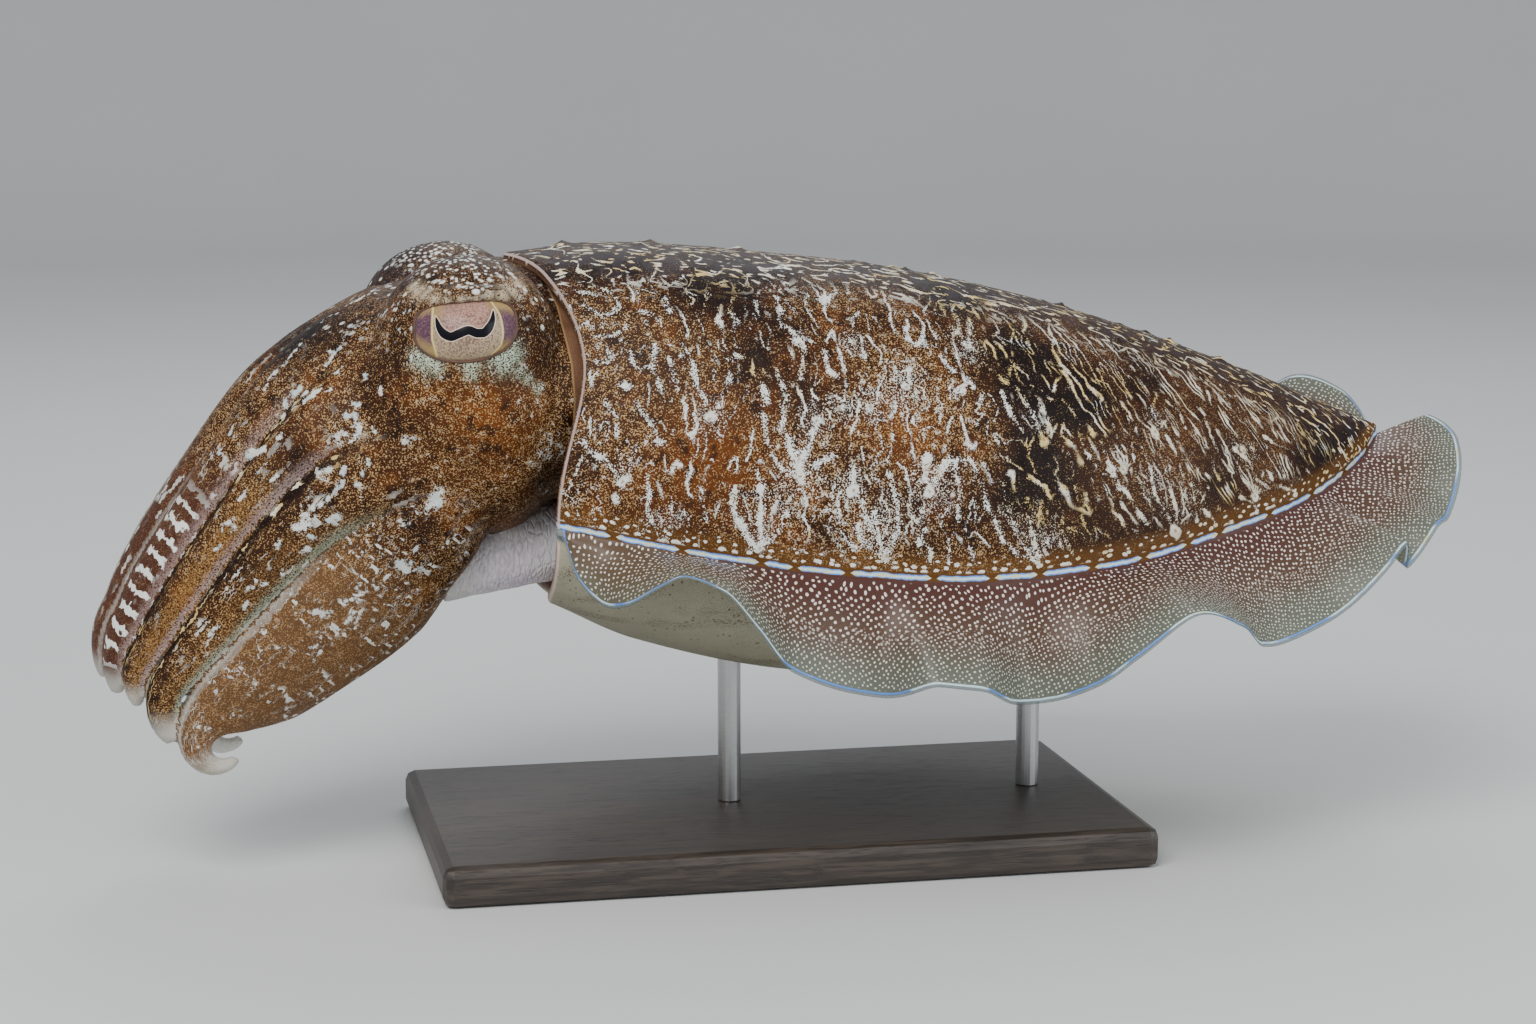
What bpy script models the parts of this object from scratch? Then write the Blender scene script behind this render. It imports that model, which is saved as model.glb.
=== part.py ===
"""A common cuttlefish, life size and swimming, held over a flat base by two short rods.

Metres, +Z up. The head points to -X and the tail to +X, so the animal's left side faces -Y.
The origin is the centre of the base's underside. The animal is 0.42 m from arm tips to fin end.
"""

import math
import random

import bmesh
import bpy
import numpy as np

MM = 0.001
GAP = 0.3 * MM  # between two pieces that meet
SIDES = {"left": -1.0, "right": 1.0}

# Mantle: (place along X, height), both in mm
FRONT_X = -60.5
WIDEST_X = 35.0
TAIL_X = 194.0
BACK_LINE = (
    (-60.5, 179.0), (-40.0, 181.5), (0.0, 178.0), (40.0, 172.5), (90.0, 160.5), (140.0, 143.5),
    (180.0, 127.0), (194.0, 121.0),
)
FIN_LINE = (
    (-60.5, 103.0), (-30.0, 96.0), (10.0, 89.5), (50.0, 86.5), (90.0, 88.5), (130.0, 95.5), (160.0, 102.0),
    (180.0, 109.5), (194.0, 117.5),
)
BELLY_LINE = (
    (-60.5, 77.0), (-40.0, 66.0), (0.0, 55.5), (40.0, 51.5), (90.0, 58.0), (140.0, 79.0), (180.0, 105.0),
    (194.0, 114.5),
)
WIDEST_HALF = 66.0
FRONT_NARROWING = 16.0
WIDEST_SHARE = 0.4
TAIL_TURN = math.radians(84.0)
TAIL_ROUNDING = 1.5
SECTION_POWER = 2.25
ROOT_BAND = 4.0
# How far the free front edge stands forward of the rings' plane, in mm, from the back (0) to the belly (1)
EDGE_LOBES = ((0.0, -17.0), (0.12, -8.0), (0.3, 0.0), (0.5, -9.0), (0.75, -9.5), (1.0, -5.0))
EDGE_FADE_SHARE = 0.45
EDGE_THICKNESS = 3.5
CAVITY_X = -36.0
MANTLE_FRONT_STEPS = 16
MANTLE_REAR_STEPS = 24
MANTLE_UPPER_STEPS = 8
MANTLE_LOWER_STEPS = 6

# Fins: width, then droop below the horizontal at the root and at the edge, in degrees, along the root
FIN_WIDTH = {
    "left": (
        (0.0, 5.0), (0.03, 15.0), (0.1, 25.0), (0.2, 30.0), (0.5, 34.0), (0.7, 36.0), (0.85, 34.0),
        (0.95, 27.0), (1.0, 18.0),
    ),
    "right": (
        (0.0, 5.0), (0.04, 15.0), (0.15, 27.0), (0.3, 32.0), (0.6, 35.0), (0.8, 35.0), (0.88, 31.0),
        (0.95, 23.0), (1.0, 14.0),
    ),
}
FIN_DROOP = {
    "left": (
        (0.0, 70.0), (0.03, 68.0), (0.066, 35.0), (0.1, 8.0), (0.127, -3.0), (0.16, 1.0), (0.194, 20.0),
        (0.23, 47.0), (0.325, 66.0), (0.38, 44.0), (0.415, 46.0), (0.461, 72.0), (0.5, 49.0), (0.52, 30.0),
        (0.56, 10.0), (0.6, 23.0), (0.635, 44.0), (0.66, 49.0), (0.7, 43.0), (0.75, 20.0), (0.772, 11.0),
        (0.797, 30.0), (0.838, 15.0), (0.875, 19.0), (0.915, 0.0), (0.96, -14.0), (1.0, -30.0),
    ),
    "right": (
        (0.0, 60.0), (0.06, 62.0), (0.13, 40.0), (0.18, 6.0), (0.23, 10.0), (0.3, 48.0), (0.38, 64.0),
        (0.47, 44.0), (0.53, 8.0), (0.57, 12.0), (0.64, 52.0), (0.7, 30.0), (0.76, -30.0), (0.82, -54.0),
        (0.87, -40.0), (0.93, 4.0), (1.0, 25.0),
    ),
}
FIN_EDGE_TURN = 12.0
FIN_STEPS_ACROSS = 5
FIN_ROOT_THICKNESS = 4.0
FIN_EDGE_THICKNESS = 0.9
FIN_FULL_ROOT_WIDTH = 26.0

# Head: (place along X, centre height, half width, half height, forward tilt of the section in degrees)
HEAD_SECTIONS = (
    (-36.3, 139.0, 35.0, 29.0, 0.0),
    (-55.0, 139.5, 38.5, 32.0, 4.0),
    (-70.0, 139.0, 43.0, 32.5, 9.0),
    (-88.0, 136.0, 49.0, 38.5, 18.0),
    (-103.5, 132.0, 46.5, 40.0, 28.0),
)
HEAD_STEPS = 11
HEAD_SIDES = 28
EYE_CENTRE = (-95.5, 46.5, 161.5)
EYE_RADII = (16.5, 10.5, 11.8)
EYE_BULGE_CENTRE = (-93.0, 31.0, 156.5)
EYE_BULGE_RADII = (25.5, 25.5, 24.0)
LID_RADII = (17.2, 11.8)
LID_THICKNESS = 2.2
LID_RISE = 0.3

# Arms, drawn in the plane of symmetry round a bent axis
ARM_AXIS = ((-103.5, 132.0), (-130.0, 118.0), (-158.0, 84.0), (-186.0, 46.0))
ARM_RING_UPPER = ((0.0, 40.0), (0.25, 41.0), (0.5, 36.0), (0.75, 30.5), (1.0, 20.0))
ARM_RING_LOWER = ((0.0, 41.0), (0.2, 48.0), (0.45, 50.5), (0.75, 42.0), (1.0, 24.0))
ARM_RING_WIDE = ((0.0, 46.0), (0.25, 44.0), (0.5, 39.0), (0.75, 31.0), (1.0, 20.0))
ARM_HOLLOW = ((0.0, 0.40), (0.3, 0.52), (0.6, 0.64), (0.85, 0.74), (1.0, 0.82))
# Where the ring is parted, in degrees from the top, at places from the crown (0) to the tips (1)
ARM_EDGES = {
    "left": (
        (0.0, 0, 40, 76, 112, 154), (0.2, 8, 43, 73, 105, 157), (0.45, 14, 46, 69, 98, 176),
        (0.85, 16, 48, 70, 97, 172), (1.0, 16, 48, 70, 106, 160),
    ),
    "right": (
        (0.0, 0, 40, 76, 112, 154), (0.2, -8, 36, 71, 109, 154), (0.45, -14, 32, 66, 106, 182),
        (0.85, -16, 34, 66, 104, 178), (1.0, -16, 34, 66, 104, 156),
    ),
}
ARM_FILL = {
    1: ((0.0, 1.0), (0.7, 0.98), (0.9, 0.93), (0.97, 0.8), (1.0, 0.5)),
    2: ((0.0, 1.0), (0.6, 0.97), (0.9, 0.9), (0.97, 0.72), (1.0, 0.45)),
    3: ((0.0, 1.0), (0.35, 0.96), (0.85, 0.87), (0.95, 0.68), (1.0, 0.45)),
    4: ((0.0, 1.0), (0.5, 0.97), (0.8, 0.91), (0.86, 0.74), (0.9, 0.52), (0.94, 0.34), (1.0, 0.15)),
}
# The tip's curl to the rear: its start, its length in mm, its turn in degrees, and how late the turn comes
ARM_CURL = {
    1: (0.84, 21.0, 55.0, 1.0),
    2: (0.87, 15.0, 58.0, 1.0),
    3: (0.87, 20.0, 74.0, 1.0),
    4: (0.875, 36.0, 178.0, 1.6),
}
CURL_STEPS = 16
# How far an arm's taper runs toward the edge next to the arm above, from 0 for its middle to 1
ARM_LEAN = {1: 0.0, 2: 0.0, 3: 0.0, 4: 0.75}
# How far one arm stands outside the others' ring, in mm from crown to tip
ARM_PROUD = {("right", 1): ((0.0, 0.0), (0.3, 0.0), (0.55, 0.8), (0.8, 1.5), (1.0, 1.5))}
ARM_SPLIT = 0.55
ARM_BASE_STEPS = 6
ARM_TIP_STEPS = 6
ARM_END_FROM = 0.88
ARM_END_STEPS = 7
ARM_SIDES = 12
ARM_SQUARENESS = 2.9
ARM_END_ROUNDING = 0.35

# Suckers: two staggered rows along each arm's oral face
SUCKER_PLACES = {"base": (0.13, 0.5, 6), "tip": (0.59, 0.955, 10)}
SUCKER_RADIUS = ((0.0, 1.9), (0.5, 1.6), (1.0, 0.7))
SUCKER_ROW = 0.38
SUCKER_VARIATION = 0.08
SUCKER_SIDES = 6
SUCKER_HEIGHT = 0.75
SUCKER_ROOT = 0.7
SUCKER_DISH = 0.4
SEED = 7

# Funnel: (place along X, centre height, half width, half height), in mm
FUNNEL_SECTIONS = (
    (-36.3, 95.0, 22.0, 10.5), (-60.0, 94.5, 18.5, 12.0), (-78.0, 92.5, 14.5, 12.5),
    (-90.0, 88.0, 11.0, 10.0), (-97.0, 84.0, 8.5, 7.5),
)
FUNNEL_WALL = 1.6
FUNNEL_BORE = 14.0
FUNNEL_STEPS = 8
FUNNEL_SIDES = 20

# Mouth: the soft ring round the beak, on the crown's middle
MOUTH_RADIUS = 12.0
MOUTH_LENGTH = 13.0

# Stand
BASE_SIZE = (210.0, 120.0, 12.0)
BASE_EDGE = 3.0
ROD_X = (-12.0, 82.0)
ROD_RADIUS = 3.5
ROD_DEPTH = 7.0

FLESH = ("flesh_brown", (0.30, 0.17, 0.09), 0.45)
FIN_FLESH = ("fin_membrane", (0.42, 0.36, 0.28), 0.4)
PALE_FLESH = ("pale_flesh", (0.62, 0.58, 0.60), 0.4)
EYE_SURFACE = ("eye", (0.55, 0.45, 0.35), 0.15)
BASE_SURFACE = ("stand_board", (0.10, 0.09, 0.085), 0.45)
ROD_SURFACE = ("stand_steel", (0.55, 0.55, 0.56), 0.3)


def through(stations, at):
    """A smooth curve through (place, value, ...) stations, with no overshoot, read at each place."""
    table = np.array(stations, float)
    place, value = table[:, 0], table[:, 1:]
    step = np.diff(place)[:, None]
    rise = np.diff(value, axis=0) / step
    slope = np.zeros_like(value)
    together = rise[:-1] * rise[1:] > 0
    mean = np.zeros_like(rise[1:])
    mean[together] = (2 * rise[:-1] * rise[1:])[together] / (rise[:-1] + rise[1:])[together]
    slope[1:-1], slope[0], slope[-1] = mean, rise[0], rise[-1]
    at = np.clip(np.atleast_1d(np.asarray(at, float)), place[0], place[-1])
    i = np.clip(np.searchsorted(place, at) - 1, 0, len(place) - 2)
    h = step[i]
    t = (at - place[i])[:, None] / h
    near = (1 + 2 * t) * (1 - t) ** 2 * value[i] + t * (1 - t) ** 2 * h * slope[i]
    far = t * t * (3 - 2 * t) * value[i + 1] + t * t * (t - 1) * h * slope[i + 1]
    return (near + far)[:, 0] if value.shape[1] == 1 else near + far


def material(look):
    name, colour, roughness = look
    made = bpy.data.materials.get(name) or bpy.data.materials.new(name)
    made.use_nodes = True
    shader = made.node_tree.nodes["Principled BSDF"]
    shader.inputs["Base Color"].default_value = (*colour, 1.0)
    shader.inputs["Roughness"].default_value = roughness
    shader.inputs["Metallic"].default_value = 1.0 if name == ROD_SURFACE[0] else 0.0
    return made


def new_object(name, form, look):
    """The bmesh as a named object in the model's collection."""
    mesh = bpy.data.meshes.new(name)
    form.normal_update()
    bmesh.ops.recalc_face_normals(form, faces=form.faces[:])
    form.to_mesh(mesh)
    form.free()
    made = bpy.data.objects.new(name, mesh)
    bpy.data.collections["cuttlefish"].objects.link(made)
    if look:
        mesh.materials.append(material(look))
        mesh.shade_smooth()
    return made


def loft(name, rings, look=None, end_point=None):
    """One closed body through rings of equally many points, in mm, with flat ends or a last point."""
    form = bmesh.new()
    rows = [[form.verts.new(np.asarray(p) * MM) for p in ring] for ring in rings]
    for near, far in zip(rows, rows[1:]):
        for k in range(len(near)):
            after = (k + 1) % len(near)
            form.faces.new((near[k], near[after], far[after], far[k]))
    form.faces.new(rows[0])
    if end_point is None:
        form.faces.new(rows[-1])
    else:
        tip = form.verts.new(np.asarray(end_point) * MM)
        for k in range(len(rows[-1])):
            form.faces.new((rows[-1][k], rows[-1][(k + 1) % len(rows[-1])], tip))
    return new_object(name, form, look)


def applied(body):
    """Bakes the object's modifiers into its mesh."""
    graph = bpy.context.evaluated_depsgraph_get()
    mesh = bpy.data.meshes.new_from_object(body.evaluated_get(graph))
    body.modifiers.clear()
    old = body.data
    body.data = mesh
    bpy.data.meshes.remove(old)


def combine(body, pieces, operation):
    """Joins the pieces to the body, or cuts them from it, and removes them."""
    group = bpy.data.collections.new("pieces_of_" + body.name)
    bpy.context.scene.collection.children.link(group)
    for piece in pieces:
        bpy.data.collections["cuttlefish"].objects.unlink(piece)
        group.objects.link(piece)
        piece.hide_render = True
        piece.display_type = "WIRE"
    step = body.modifiers.new(operation.lower(), "BOOLEAN")
    step.operand_type = "COLLECTION"
    step.collection = group
    step.operation = operation
    step.solver = "EXACT"
    applied(body)
    for piece in pieces:
        bpy.data.objects.remove(piece)
    bpy.data.collections.remove(group)
    keep_largest(body)


def keep_largest(body):
    """Keeps only the largest closed surface of the body."""
    form = bmesh.new()
    form.from_mesh(body.data)
    bmesh.ops.remove_doubles(form, verts=form.verts[:], dist=0.002 * MM)
    left = set(form.verts)
    shells = []
    while left:
        shell, edge = set(), [left.pop()]
        while edge:
            vert = edge.pop()
            shell.add(vert)
            for link in vert.link_edges:
                other = link.other_vert(vert)
                if other in left:
                    left.discard(other)
                    edge.append(other)
        shells.append(shell)
    shells.sort(key=len)
    bmesh.ops.delete(form, geom=[v for shell in shells[:-1] for v in shell], context="VERTS")
    form.to_mesh(body.data)
    form.free()


def ellipsoid(name, centre, radii, segments=20, rings=12, look=None):
    """A sphere primitive stretched to its radii, with its poles on the left-right axis."""
    form = bmesh.new()
    bmesh.ops.create_uvsphere(form, u_segments=segments, v_segments=rings, radius=1.0)
    for vert in form.verts:
        x, y, z = vert.co
        vert.co = [(c + r * q) * MM for c, r, q in zip(centre, radii, (x, -z, y))]
    return new_object(name, form, look)


# Mantle

def mantle_station(share):
    """Place along X and half width, in mm, at a share of the way from the front edge to the tail."""
    share = np.atleast_1d(np.asarray(share, float))
    ahead = np.clip(share / WIDEST_SHARE, 0.0, 1.0)
    turn = np.clip((share - WIDEST_SHARE) / (1.0 - WIDEST_SHARE), 0.0, 1.0) * TAIL_TURN
    x = FRONT_X + (WIDEST_X - FRONT_X) * ahead + (TAIL_X - WIDEST_X) * np.sin(turn)
    half = (WIDEST_HALF - FRONT_NARROWING * (1.0 - ahead) ** 2) * np.cos(turn) ** TAIL_ROUNDING
    return x, half


def edge_lobe(share, round_share):
    """How far a mantle point is moved forward so that the free edge has its lobes."""
    fade = np.clip(1.0 - share / EDGE_FADE_SHARE, 0.0, 1.0) ** 2
    return through(EDGE_LOBES, round_share) * fade


def mantle_ring(share):
    """One ring of the mantle, from the back's middle down the left side and up the right one."""
    (x,), (half,) = mantle_station(share)
    top, root, belly = (through(line, x)[0] for line in (BACK_LINE, FIN_LINE, BELLY_LINE))
    band = min(ROOT_BAND, 0.5 * (top - belly))
    upper = np.linspace(0.0, math.pi / 2, MANTLE_UPPER_STEPS + 1)
    lower = np.linspace(0.0, math.pi / 2, MANTLE_LOWER_STEPS + 1)
    power = 2.0 / SECTION_POWER
    out = np.concatenate([np.sin(upper) ** power, np.cos(lower) ** power]) * half
    high = np.concatenate([
        root + band / 2 + (top - root - band / 2) * np.cos(upper) ** power,
        root - band / 2 - (root - band / 2 - belly) * np.sin(lower) ** power,
    ])
    round_share = np.concatenate([upper / math.pi, 0.5 + lower / math.pi])
    place = x + edge_lobe(share, round_share)
    left = np.stack([place, -np.abs(out), high], axis=1)
    right = left[-2:0:-1] * (1.0, -1.0, 1.0)
    return np.concatenate([left, right])


def mantle_shares(front_steps, rear_steps):
    ahead = np.linspace(0.0, WIDEST_SHARE, front_steps + 1)
    behind = np.linspace(WIDEST_SHARE, 1.0, rear_steps + 1)
    return np.concatenate([ahead, behind[1:]])


def cavity_rings():
    """The front opening: a rounded edge, then a wall that runs back to a flat end."""
    edge = mantle_ring(0.0)
    middle = edge.mean(axis=0)
    away = edge - middle
    reach = np.linalg.norm(away[:, 1:], axis=1)[:, None]
    rings = []
    for inset, back in ((EDGE_THICKNESS * 0.45, -0.9), (EDGE_THICKNESS, 0.6), (EDGE_THICKNESS + 1.0, 9.0)):
        ring = middle + away * (1.0 - inset / reach)
        ring[:, 0] = edge[:, 0] + back
        rings.append(ring)
    end = middle + away * (1.0 - (EDGE_THICKNESS + 3.0) / reach)
    end[:, 0] = CAVITY_X
    return [end, *rings[::-1]]


def make_mantle():
    rings = [mantle_ring(share) for share in mantle_shares(MANTLE_FRONT_STEPS, MANTLE_REAR_STEPS)]
    return loft("mantle", cavity_rings() + rings, FLESH)


# Fins

def fin_root(share):
    """Points on the mantle's fin line, left side, and the level direction out of it."""
    x, half = mantle_station(share)
    place = x + edge_lobe(share, 0.5)
    root = np.stack([place, -half, through(FIN_LINE, x)], axis=1)
    along = np.gradient(root[:, :2], axis=0)
    out = np.stack([-along[:, 1], along[:, 0]], axis=1)
    out /= -np.linalg.norm(out, axis=1)[:, None]
    return root, np.concatenate([out, np.zeros((len(out), 1))], axis=1)


def fin_sheet(side, share, steps):
    """The fin's middle surface: [station][step across] points in mm."""
    root, out = fin_root(share)
    width = through(FIN_WIDTH[side], share)
    droop = np.radians(through(FIN_DROOP[side], share))
    rows = [root + out * GAP / MM]
    for step in range(steps):
        angle = droop + math.radians(FIN_EDGE_TURN) * ((step + 0.5) / steps - 0.3)
        way = out * np.cos(angle)[:, None] - np.array([0.0, 0.0, 1.0]) * np.sin(angle)[:, None]
        rows.append(rows[-1] + way * (width / steps)[:, None])
    sheet = np.stack(rows, axis=1)
    return sheet * (1.0, -SIDES[side], 1.0)


def sheet_normals(sheet):
    along = np.gradient(sheet, axis=0)
    across = np.gradient(sheet, axis=1)
    normal = np.cross(along, across)
    normal /= np.linalg.norm(normal, axis=2)[:, :, None]
    return normal * np.sign(normal[:, :1, 2:])


def make_fin(side):
    share = mantle_shares(MANTLE_FRONT_STEPS, MANTLE_REAR_STEPS)
    sheet = fin_sheet(side, share, FIN_STEPS_ACROSS)
    normal = sheet_normals(sheet)
    normal[:, 0] = (0.0, 0.0, 1.0)
    across = np.linspace(0.0, 1.0, FIN_STEPS_ACROSS + 1)
    fullness = np.clip(through(FIN_WIDTH[side], share) / FIN_FULL_ROOT_WIDTH, 0.2, 1.0)
    root = FIN_ROOT_THICKNESS * fullness[:, None]
    half = (root + (np.minimum(root, FIN_EDGE_THICKNESS) - root) * across ** 0.5) / 2
    top, under = sheet + normal * half[:, :, None], sheet - normal * half[:, :, None]
    form = bmesh.new()
    faces = [[[form.verts.new(p * MM) for p in row] for row in face] for face in (top, under)]
    stations, columns = len(share), FIN_STEPS_ACROSS + 1
    for grid in faces:
        for i in range(stations - 1):
            for j in range(columns - 1):
                form.faces.new((grid[i][j], grid[i + 1][j], grid[i + 1][j + 1]))
                form.faces.new((grid[i][j], grid[i + 1][j + 1], grid[i][j + 1]))
    rim = [(i, 0) for i in range(stations)]
    rim += [(stations - 1, j) for j in range(1, columns)]
    rim += [(i, columns - 1) for i in range(stations - 2, -1, -1)]
    rim += [(0, j) for j in range(columns - 2, 0, -1)]
    for (i, j), (k, m) in zip(rim, rim[1:] + rim[:1]):
        form.faces.new((faces[0][i][j], faces[0][k][m], faces[1][k][m], faces[1][i][j]))
    return new_object(f"fin_{side}", form, FIN_FLESH)


# Head

def head_ring(place):
    x, centre, half_width, half_height, tilt = through(
        [(i, *row) for i, row in enumerate(HEAD_SECTIONS)], place * (len(HEAD_SECTIONS) - 1))[0]
    angle = np.linspace(0.0, 2 * math.pi, HEAD_SIDES, endpoint=False)
    high = half_height * np.cos(angle)
    lean = math.radians(tilt)
    place = x - high * math.sin(lean)
    return np.stack([place, half_width * np.sin(angle), centre + high * math.cos(lean)], axis=1)


def make_head():
    rings = [head_ring(place) for place in np.linspace(0.0, 1.0, HEAD_STEPS + 1)]
    head = loft("head", rings, FLESH)
    bulges, cutters = [], []
    for side in SIDES.values():
        centre, eye = ((c[0], side * c[1], c[2]) for c in (EYE_BULGE_CENTRE, EYE_CENTRE))
        bulges.append(ellipsoid("bulge", centre, EYE_BULGE_RADII))
        bulges.append(lid(side))
        cutters.append(ellipsoid("socket", eye, [r + GAP / MM for r in EYE_RADII], 18, 10))
    combine(head, bulges, "UNION")
    cutters.append(funnel_body("funnel_room", GAP / MM))
    combine(head, cutters, "DIFFERENCE")
    crown, forward, _ = arm_axis(0.0)
    trim(head, crown * MM, forward)
    trim(head, (HEAD_SECTIONS[0][0] * MM, 0.0, 0.0), (1.0, 0.0, 0.0))
    return head


def trim(body, point, outward):
    """Cuts off what lies past a plane and closes the cut."""
    form = bmesh.new()
    form.from_mesh(body.data)
    everything = form.verts[:] + form.edges[:] + form.faces[:]
    bmesh.ops.bisect_plane(
        form, geom=everything, dist=1e-7, plane_co=point, plane_no=outward, clear_outer=True)
    open_edges = [edge for edge in form.edges if len(edge.link_faces) == 1]
    if open_edges:
        bmesh.ops.contextual_create(form, geom=open_edges)
    bmesh.ops.recalc_face_normals(form, faces=form.faces[:])
    form.to_mesh(body.data)
    form.free()


def bulge_surface(x, z):
    """How far out the eye's bulge reaches at a place on its side."""
    along = (x - EYE_BULGE_CENTRE[0]) / EYE_BULGE_RADII[0]
    high = (z - EYE_BULGE_CENTRE[2]) / EYE_BULGE_RADII[2]
    return EYE_BULGE_CENTRE[1] + EYE_BULGE_RADII[1] * math.sqrt(1.0 - along ** 2 - high ** 2)


def lid(side):
    """The raised rim round one eye opening."""
    form = bmesh.new()
    around, thick = 24, 6
    rows = []
    for i in range(around):
        a = 2 * math.pi * i / around
        row = []
        for k in range(thick):
            b = 2 * math.pi * k / thick
            wide, high = (radius + LID_THICKNESS * math.cos(b) for radius in LID_RADII)
            x, z = EYE_CENTRE[0] + wide * math.cos(a), EYE_CENTRE[2] + high * math.sin(a)
            out = bulge_surface(x, z) + LID_RISE + LID_THICKNESS * math.sin(b)
            row.append(form.verts.new((x * MM, side * out * MM, z * MM)))
        rows.append(row)
    for i in range(around):
        for k in range(thick):
            near, far = rows[i], rows[(i + 1) % around]
            form.faces.new((near[k], near[(k + 1) % thick], far[(k + 1) % thick], far[k]))
    return new_object("lid", form, None)


def make_eye(side):
    centre = (EYE_CENTRE[0], SIDES[side] * EYE_CENTRE[1], EYE_CENTRE[2])
    return ellipsoid(f"eye_{side}", centre, EYE_RADII, 18, 10, EYE_SURFACE)


# Funnel

def funnel_ring(place, grow=0.0):
    x, centre, half_width, half_height = through(
        [(i, *row) for i, row in enumerate(FUNNEL_SECTIONS)], place * (len(FUNNEL_SECTIONS) - 1))[0]
    angle = np.linspace(0.0, 2 * math.pi, FUNNEL_SIDES, endpoint=False)
    out, high = (half_width + grow) * np.sin(angle), (half_height + grow) * np.cos(angle)
    return np.stack([np.full(FUNNEL_SIDES, x), out, centre + high], axis=1)


def funnel_body(name, grow=0.0, look=None):
    return loft(name, [funnel_ring(p, grow) for p in np.linspace(0.0, 1.0, FUNNEL_STEPS + 1)], look)


def make_funnel():
    funnel = funnel_body("funnel", 0.0, PALE_FLESH)
    bore_share = FUNNEL_BORE / (FUNNEL_SECTIONS[0][0] - FUNNEL_SECTIONS[-1][0])
    bore = [funnel_ring(p, -FUNNEL_WALL) for p in np.linspace(1.0 - bore_share, 1.0, 3)]
    bore.append(bore[-1] + (-2.0, 0.0, 0.0))
    combine(funnel, [loft("bore", bore)], "DIFFERENCE")
    return funnel


# Arms

def arm_axis(t):
    """Point, forward direction and upward direction of the arms' common axis."""
    p = np.array([(x, 0.0, z) for x, z in ARM_AXIS])
    near = 1 - t
    point = near ** 3 * p[0] + 3 * t * near ** 2 * p[1] + 3 * t * t * near * p[2] + t ** 3 * p[3]
    way = near ** 2 * (p[1] - p[0]) + 2 * t * near * (p[2] - p[1]) + t * t * (p[3] - p[2])
    way /= np.linalg.norm(way)
    return point, way, np.array([way[2], 0.0, -way[0]])


def arm_section(pair, side, t, across, outward):
    """A point of one arm: across runs -1 to 1 over its sector, outward -1 to 1 from oral to outer face."""
    low, high = np.radians(through(ARM_EDGES[side], t)[0][pair - 1:pair + 1])
    upper, lower, wide = (through(ring, t)[0] for ring in (ARM_RING_UPPER, ARM_RING_LOWER, ARM_RING_WIDE))
    hollow = through(ARM_HOLLOW, t)[0]
    radius = (1 + hollow) / 2 + (1 - hollow) / 2 * outward
    if (side, pair) in ARM_PROUD:
        radius *= 1.0 + through(ARM_PROUD[side, pair], t)[0] / upper
    room = (high - low) / 2 - 0.5 * GAP / MM / (min(upper, wide) * hollow)
    fill, lean = through(ARM_FILL[pair], t)[0], ARM_LEAN[pair]
    angle = (low + high) / 2 + room * (fill * across - lean * (1 - fill))
    rise = math.cos(angle) * (upper if math.cos(angle) > 0 else lower)
    return rise * radius, SIDES[side] * wide * radius * math.sin(angle)


def arm_point(pair, side, t, across, outward):
    """The same point in mm, with the tip's curl."""
    start, length, turn, late = ARM_CURL[pair]
    rise, out = arm_section(pair, side, t, across, outward)
    if t <= start:
        point, _, up = arm_axis(t)
        return point + up * rise + np.array([0.0, out, 0.0])
    point, way, up = arm_axis(start)
    mid_rise, _ = arm_section(pair, side, start, -ARM_LEAN[pair], 0.0)
    now_rise, _ = arm_section(pair, side, t, -ARM_LEAN[pair], 0.0)
    share = (t - start) / (1 - start)
    turns = math.radians(turn) * (share * (np.arange(CURL_STEPS) + 0.5) / CURL_STEPS) ** late
    gone = length * share
    middle = point + up * (mid_rise - gone * np.sin(turns).mean()) + way * gone * np.cos(turns).mean()
    angle = math.radians(turn) * share ** late
    turned_up = up * math.cos(angle) + way * math.sin(angle)
    return middle + turned_up * (rise - now_rise) + np.array([0.0, out, 0.0])


def squareness(t):
    return ARM_SQUARENESS + (2.0 - ARM_SQUARENESS) * t * t


def arm_ring(pair, side, t):
    angle = np.linspace(0.0, 2 * math.pi, ARM_SIDES, endpoint=False) + math.pi / ARM_SIDES
    power = 2.0 / squareness(t)
    across = np.sign(np.cos(angle)) * np.abs(np.cos(angle)) ** power
    outward = np.sign(np.sin(angle)) * np.abs(np.sin(angle)) ** power
    return np.array([arm_point(pair, side, t, a, o) for a, o in zip(across, outward)])


def sucker(pair, side, t, across, radius):
    """A short cup on the oral face, its root sunk into the arm."""
    n = squareness(t)
    face = -(1.0 - abs(across) ** n) ** (1.0 / n)
    foot, core = arm_point(pair, side, t, across, face), arm_point(pair, side, t, across, face + 0.5)
    inward = (foot - core) / np.linalg.norm(foot - core)
    along = arm_point(pair, side, t + 0.01, across, face) - foot
    along -= inward * (along @ inward)
    along /= np.linalg.norm(along)
    sideways = np.cross(inward, along)
    rings = []
    for depth, width in ((-SUCKER_ROOT, 0.7), (SUCKER_HEIGHT, 1.0)):
        angle = np.linspace(0.0, 2 * math.pi, SUCKER_SIDES, endpoint=False)
        centre, wide = foot + inward * depth * radius, radius * width
        rings.append([centre + (along * math.cos(a) + sideways * math.sin(a)) * wide for a in angle])
    return loft("sucker", rings, None, foot + inward * (SUCKER_HEIGHT - SUCKER_DISH) * radius)


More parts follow.
